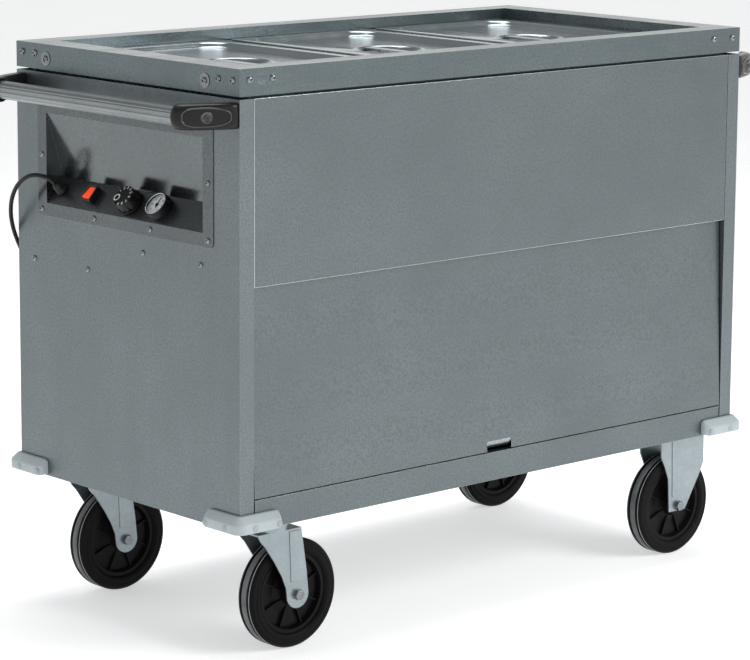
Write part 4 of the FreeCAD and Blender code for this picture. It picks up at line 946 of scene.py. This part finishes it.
def coil_points():
    """Turns that lie beside each other, moving round the bundle as they go."""
    points = []
    for step in range(COIL_TURNS * POINTS_PER_TURN + 1):
        turns = step / POINTS_PER_TURN
        around = math.pi + 2 * math.pi * turns
        slot = SLOT_ADVANCE * turns
        reach = COIL_RADIUS + SLOT_RADIUS * math.cos(slot)
        points.append((COIL_CENTRE.x + reach * math.cos(around),
                       COIL_CENTRE.y + SLOT_RADIUS * math.sin(slot),
                       COIL_CENTRE.z + reach * math.sin(around)))
    return points


def make_cord():
    """The lead from the gland to the coil, with its plug and tie."""
    leaves_at = STRIP_MIDDLE + Vector((0, GLAND_Y, 0)) + OUTWARD * CORD_EXIT_HEIGHT * MM
    points = [tuple(leaves_at)] + CORD_POINTS + coil_points() + TAIL_POINTS
    curve = bpy.data.curves.new("mains_lead", "CURVE")
    curve.dimensions = "3D"
    curve.bevel_depth = CORD_DIAMETER / 2
    curve.bevel_resolution = 5
    curve.resolution_u = 6
    spline = curve.splines.new("NURBS")
    spline.points.add(len(points) - 1)
    for point, place in zip(spline.points, points):
        point.co = (*place, 1)
    spline.order_u = 3
    spline.use_endpoint_u = True
    lead = linked("mains_lead", curve)
    dress(lead, "cord_rubber", "cabinet")
    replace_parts(lead, "mains_cord", "cord_coil")
    plug, pins, tie = make_plug(), make_pins(), make_tie()


def make_plug():
    """Round moulded plug with a ribbed tail."""
    low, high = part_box("mains_plug")
    x, y = (low.x + high.x) / 2, (low.y + high.y) / 2
    face = basis((x, y, low.z + 19 * MM), (1, 0, 0), (0, 1, 0), (0, 0, 1))
    profile = [(0, 0), (15.5, 0), (16.6, 1), (17, 3), (17, 26), (16, 32), (13.5, 38),
               (9.5, 42), (7.6, 43)]
    for rib in range(4):
        base = 43 + rib * 4
        width = 7.6 - rib * 0.6
        profile += [(width, base + 1), (width, base + 2.6), (width - 1.3, base + 2.9),
                    (width - 1.3, base + 4)]
    profile += [(4.6, 60), (4.0, 60.5), (0, 60.5)]
    plug = turned("plug_body", in_mm(profile), face, 40)
    dress(plug, "cord_rubber", "cabinet")
    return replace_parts(plug, "mains_plug")


def make_pins():
    """The plug's two round pins, one each side of its middle."""
    low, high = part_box("mains_plug")
    x, y = (low.x + high.x) / 2, (low.y + high.y) / 2
    profile = [(0, 0), (1.6, 0.1), (2.3, 0.8), (2.4, 2), (2.4, 20)]
    pins = []
    for offset in (-9.5, 9.5):
        face = basis((x + offset * MM, y, low.z), (1, 0, 0), (0, 1, 0), (0, 0, 1))
        pin = turned(f"plug_pin_{len(pins)}", in_mm(profile), face, 20)
        pins.append(dress(pin, "screw_steel", "cabinet"))
    return pins


def make_tie():
    """Soft strap round the bottom of the coil."""
    bm = bmesh.new()
    reach, half = SLOT_RADIUS + CORD_DIAMETER / 2 + 0.9 * MM, 6 * MM
    rings = []
    for x in (-half, half):
        ring = []
        for step in range(TIE_STEPS):
            angle = 2 * math.pi * step / TIE_STEPS
            ring.append(bm.verts.new((COIL_CENTRE.x + x,
                                      COIL_CENTRE.y + reach * math.cos(angle),
                                      COIL_CENTRE.z - COIL_RADIUS + reach * math.sin(angle))))
        rings.append(ring)
    join_rings(bm, rings)
    tie = piece_from(bm, "coil_tie")
    smooth(tie.data)
    strap = tie.modifiers.new("Strap", "SOLIDIFY")
    strap.thickness = 1.2 * MM
    strap.offset = 1
    return dress(tie, "black_plastic", "cabinet")


# ------------------------------------------------------------------ the object
# Width of the rounded edges of each CAD node that is shown eased.
EASED_MM = {"rim_frame": 1.3, "upper_front_panel": 1.2, "rear_panel": 1.2,
            "service_door": 1.2, "control_end_panel": 1.2, "plain_end_panel": 1.2,
            "base_tray": 1.2, "control_housing": 1.0,
            "control_strip": 0.3, "thermostat_knob": 0.7, "gauge_case": 0.8,
            "switch_body": 1.4, "switch_rocker": 0.7, "swivel_fork_front": 0.8,
            "swivel_fork_rear": 0.8, "rigid_forks": 0.8, "lid_handle_1": 1.2,
            "lid_handle_2": 1.2, "lid_handle_3": 1.2, "cord_hook": 0.8,
            "rigid_axles": 0.6, "swivel_axle_front": 0.6, "swivel_axle_rear": 0.6}

make_camera()
make_cord()
make_room()
for node_name, width in EASED_MM.items():
    eased(node_name, width * MM, FINISH_OF_NODE.get(node_name))
for lid_number in (1, 2, 3):
    pressed_lid(lid_number)
for end in (-1, 1):
    for side in (-1, 1):
        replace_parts(make_bracket(end, side), "push_bar_brackets")
for end in (-1, 1):
    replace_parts(ribbed_bar(end), "push_bars")
    for side in (-1, 1):
        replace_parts(make_bumper(end, side), "corner_bumpers")
make_tyres()
tread_marks()
door_grip()
rim_dimple()
fork_presses()
knob_markings()
dial_markings()
dial_ring()
switch_surround()
gland_dome()
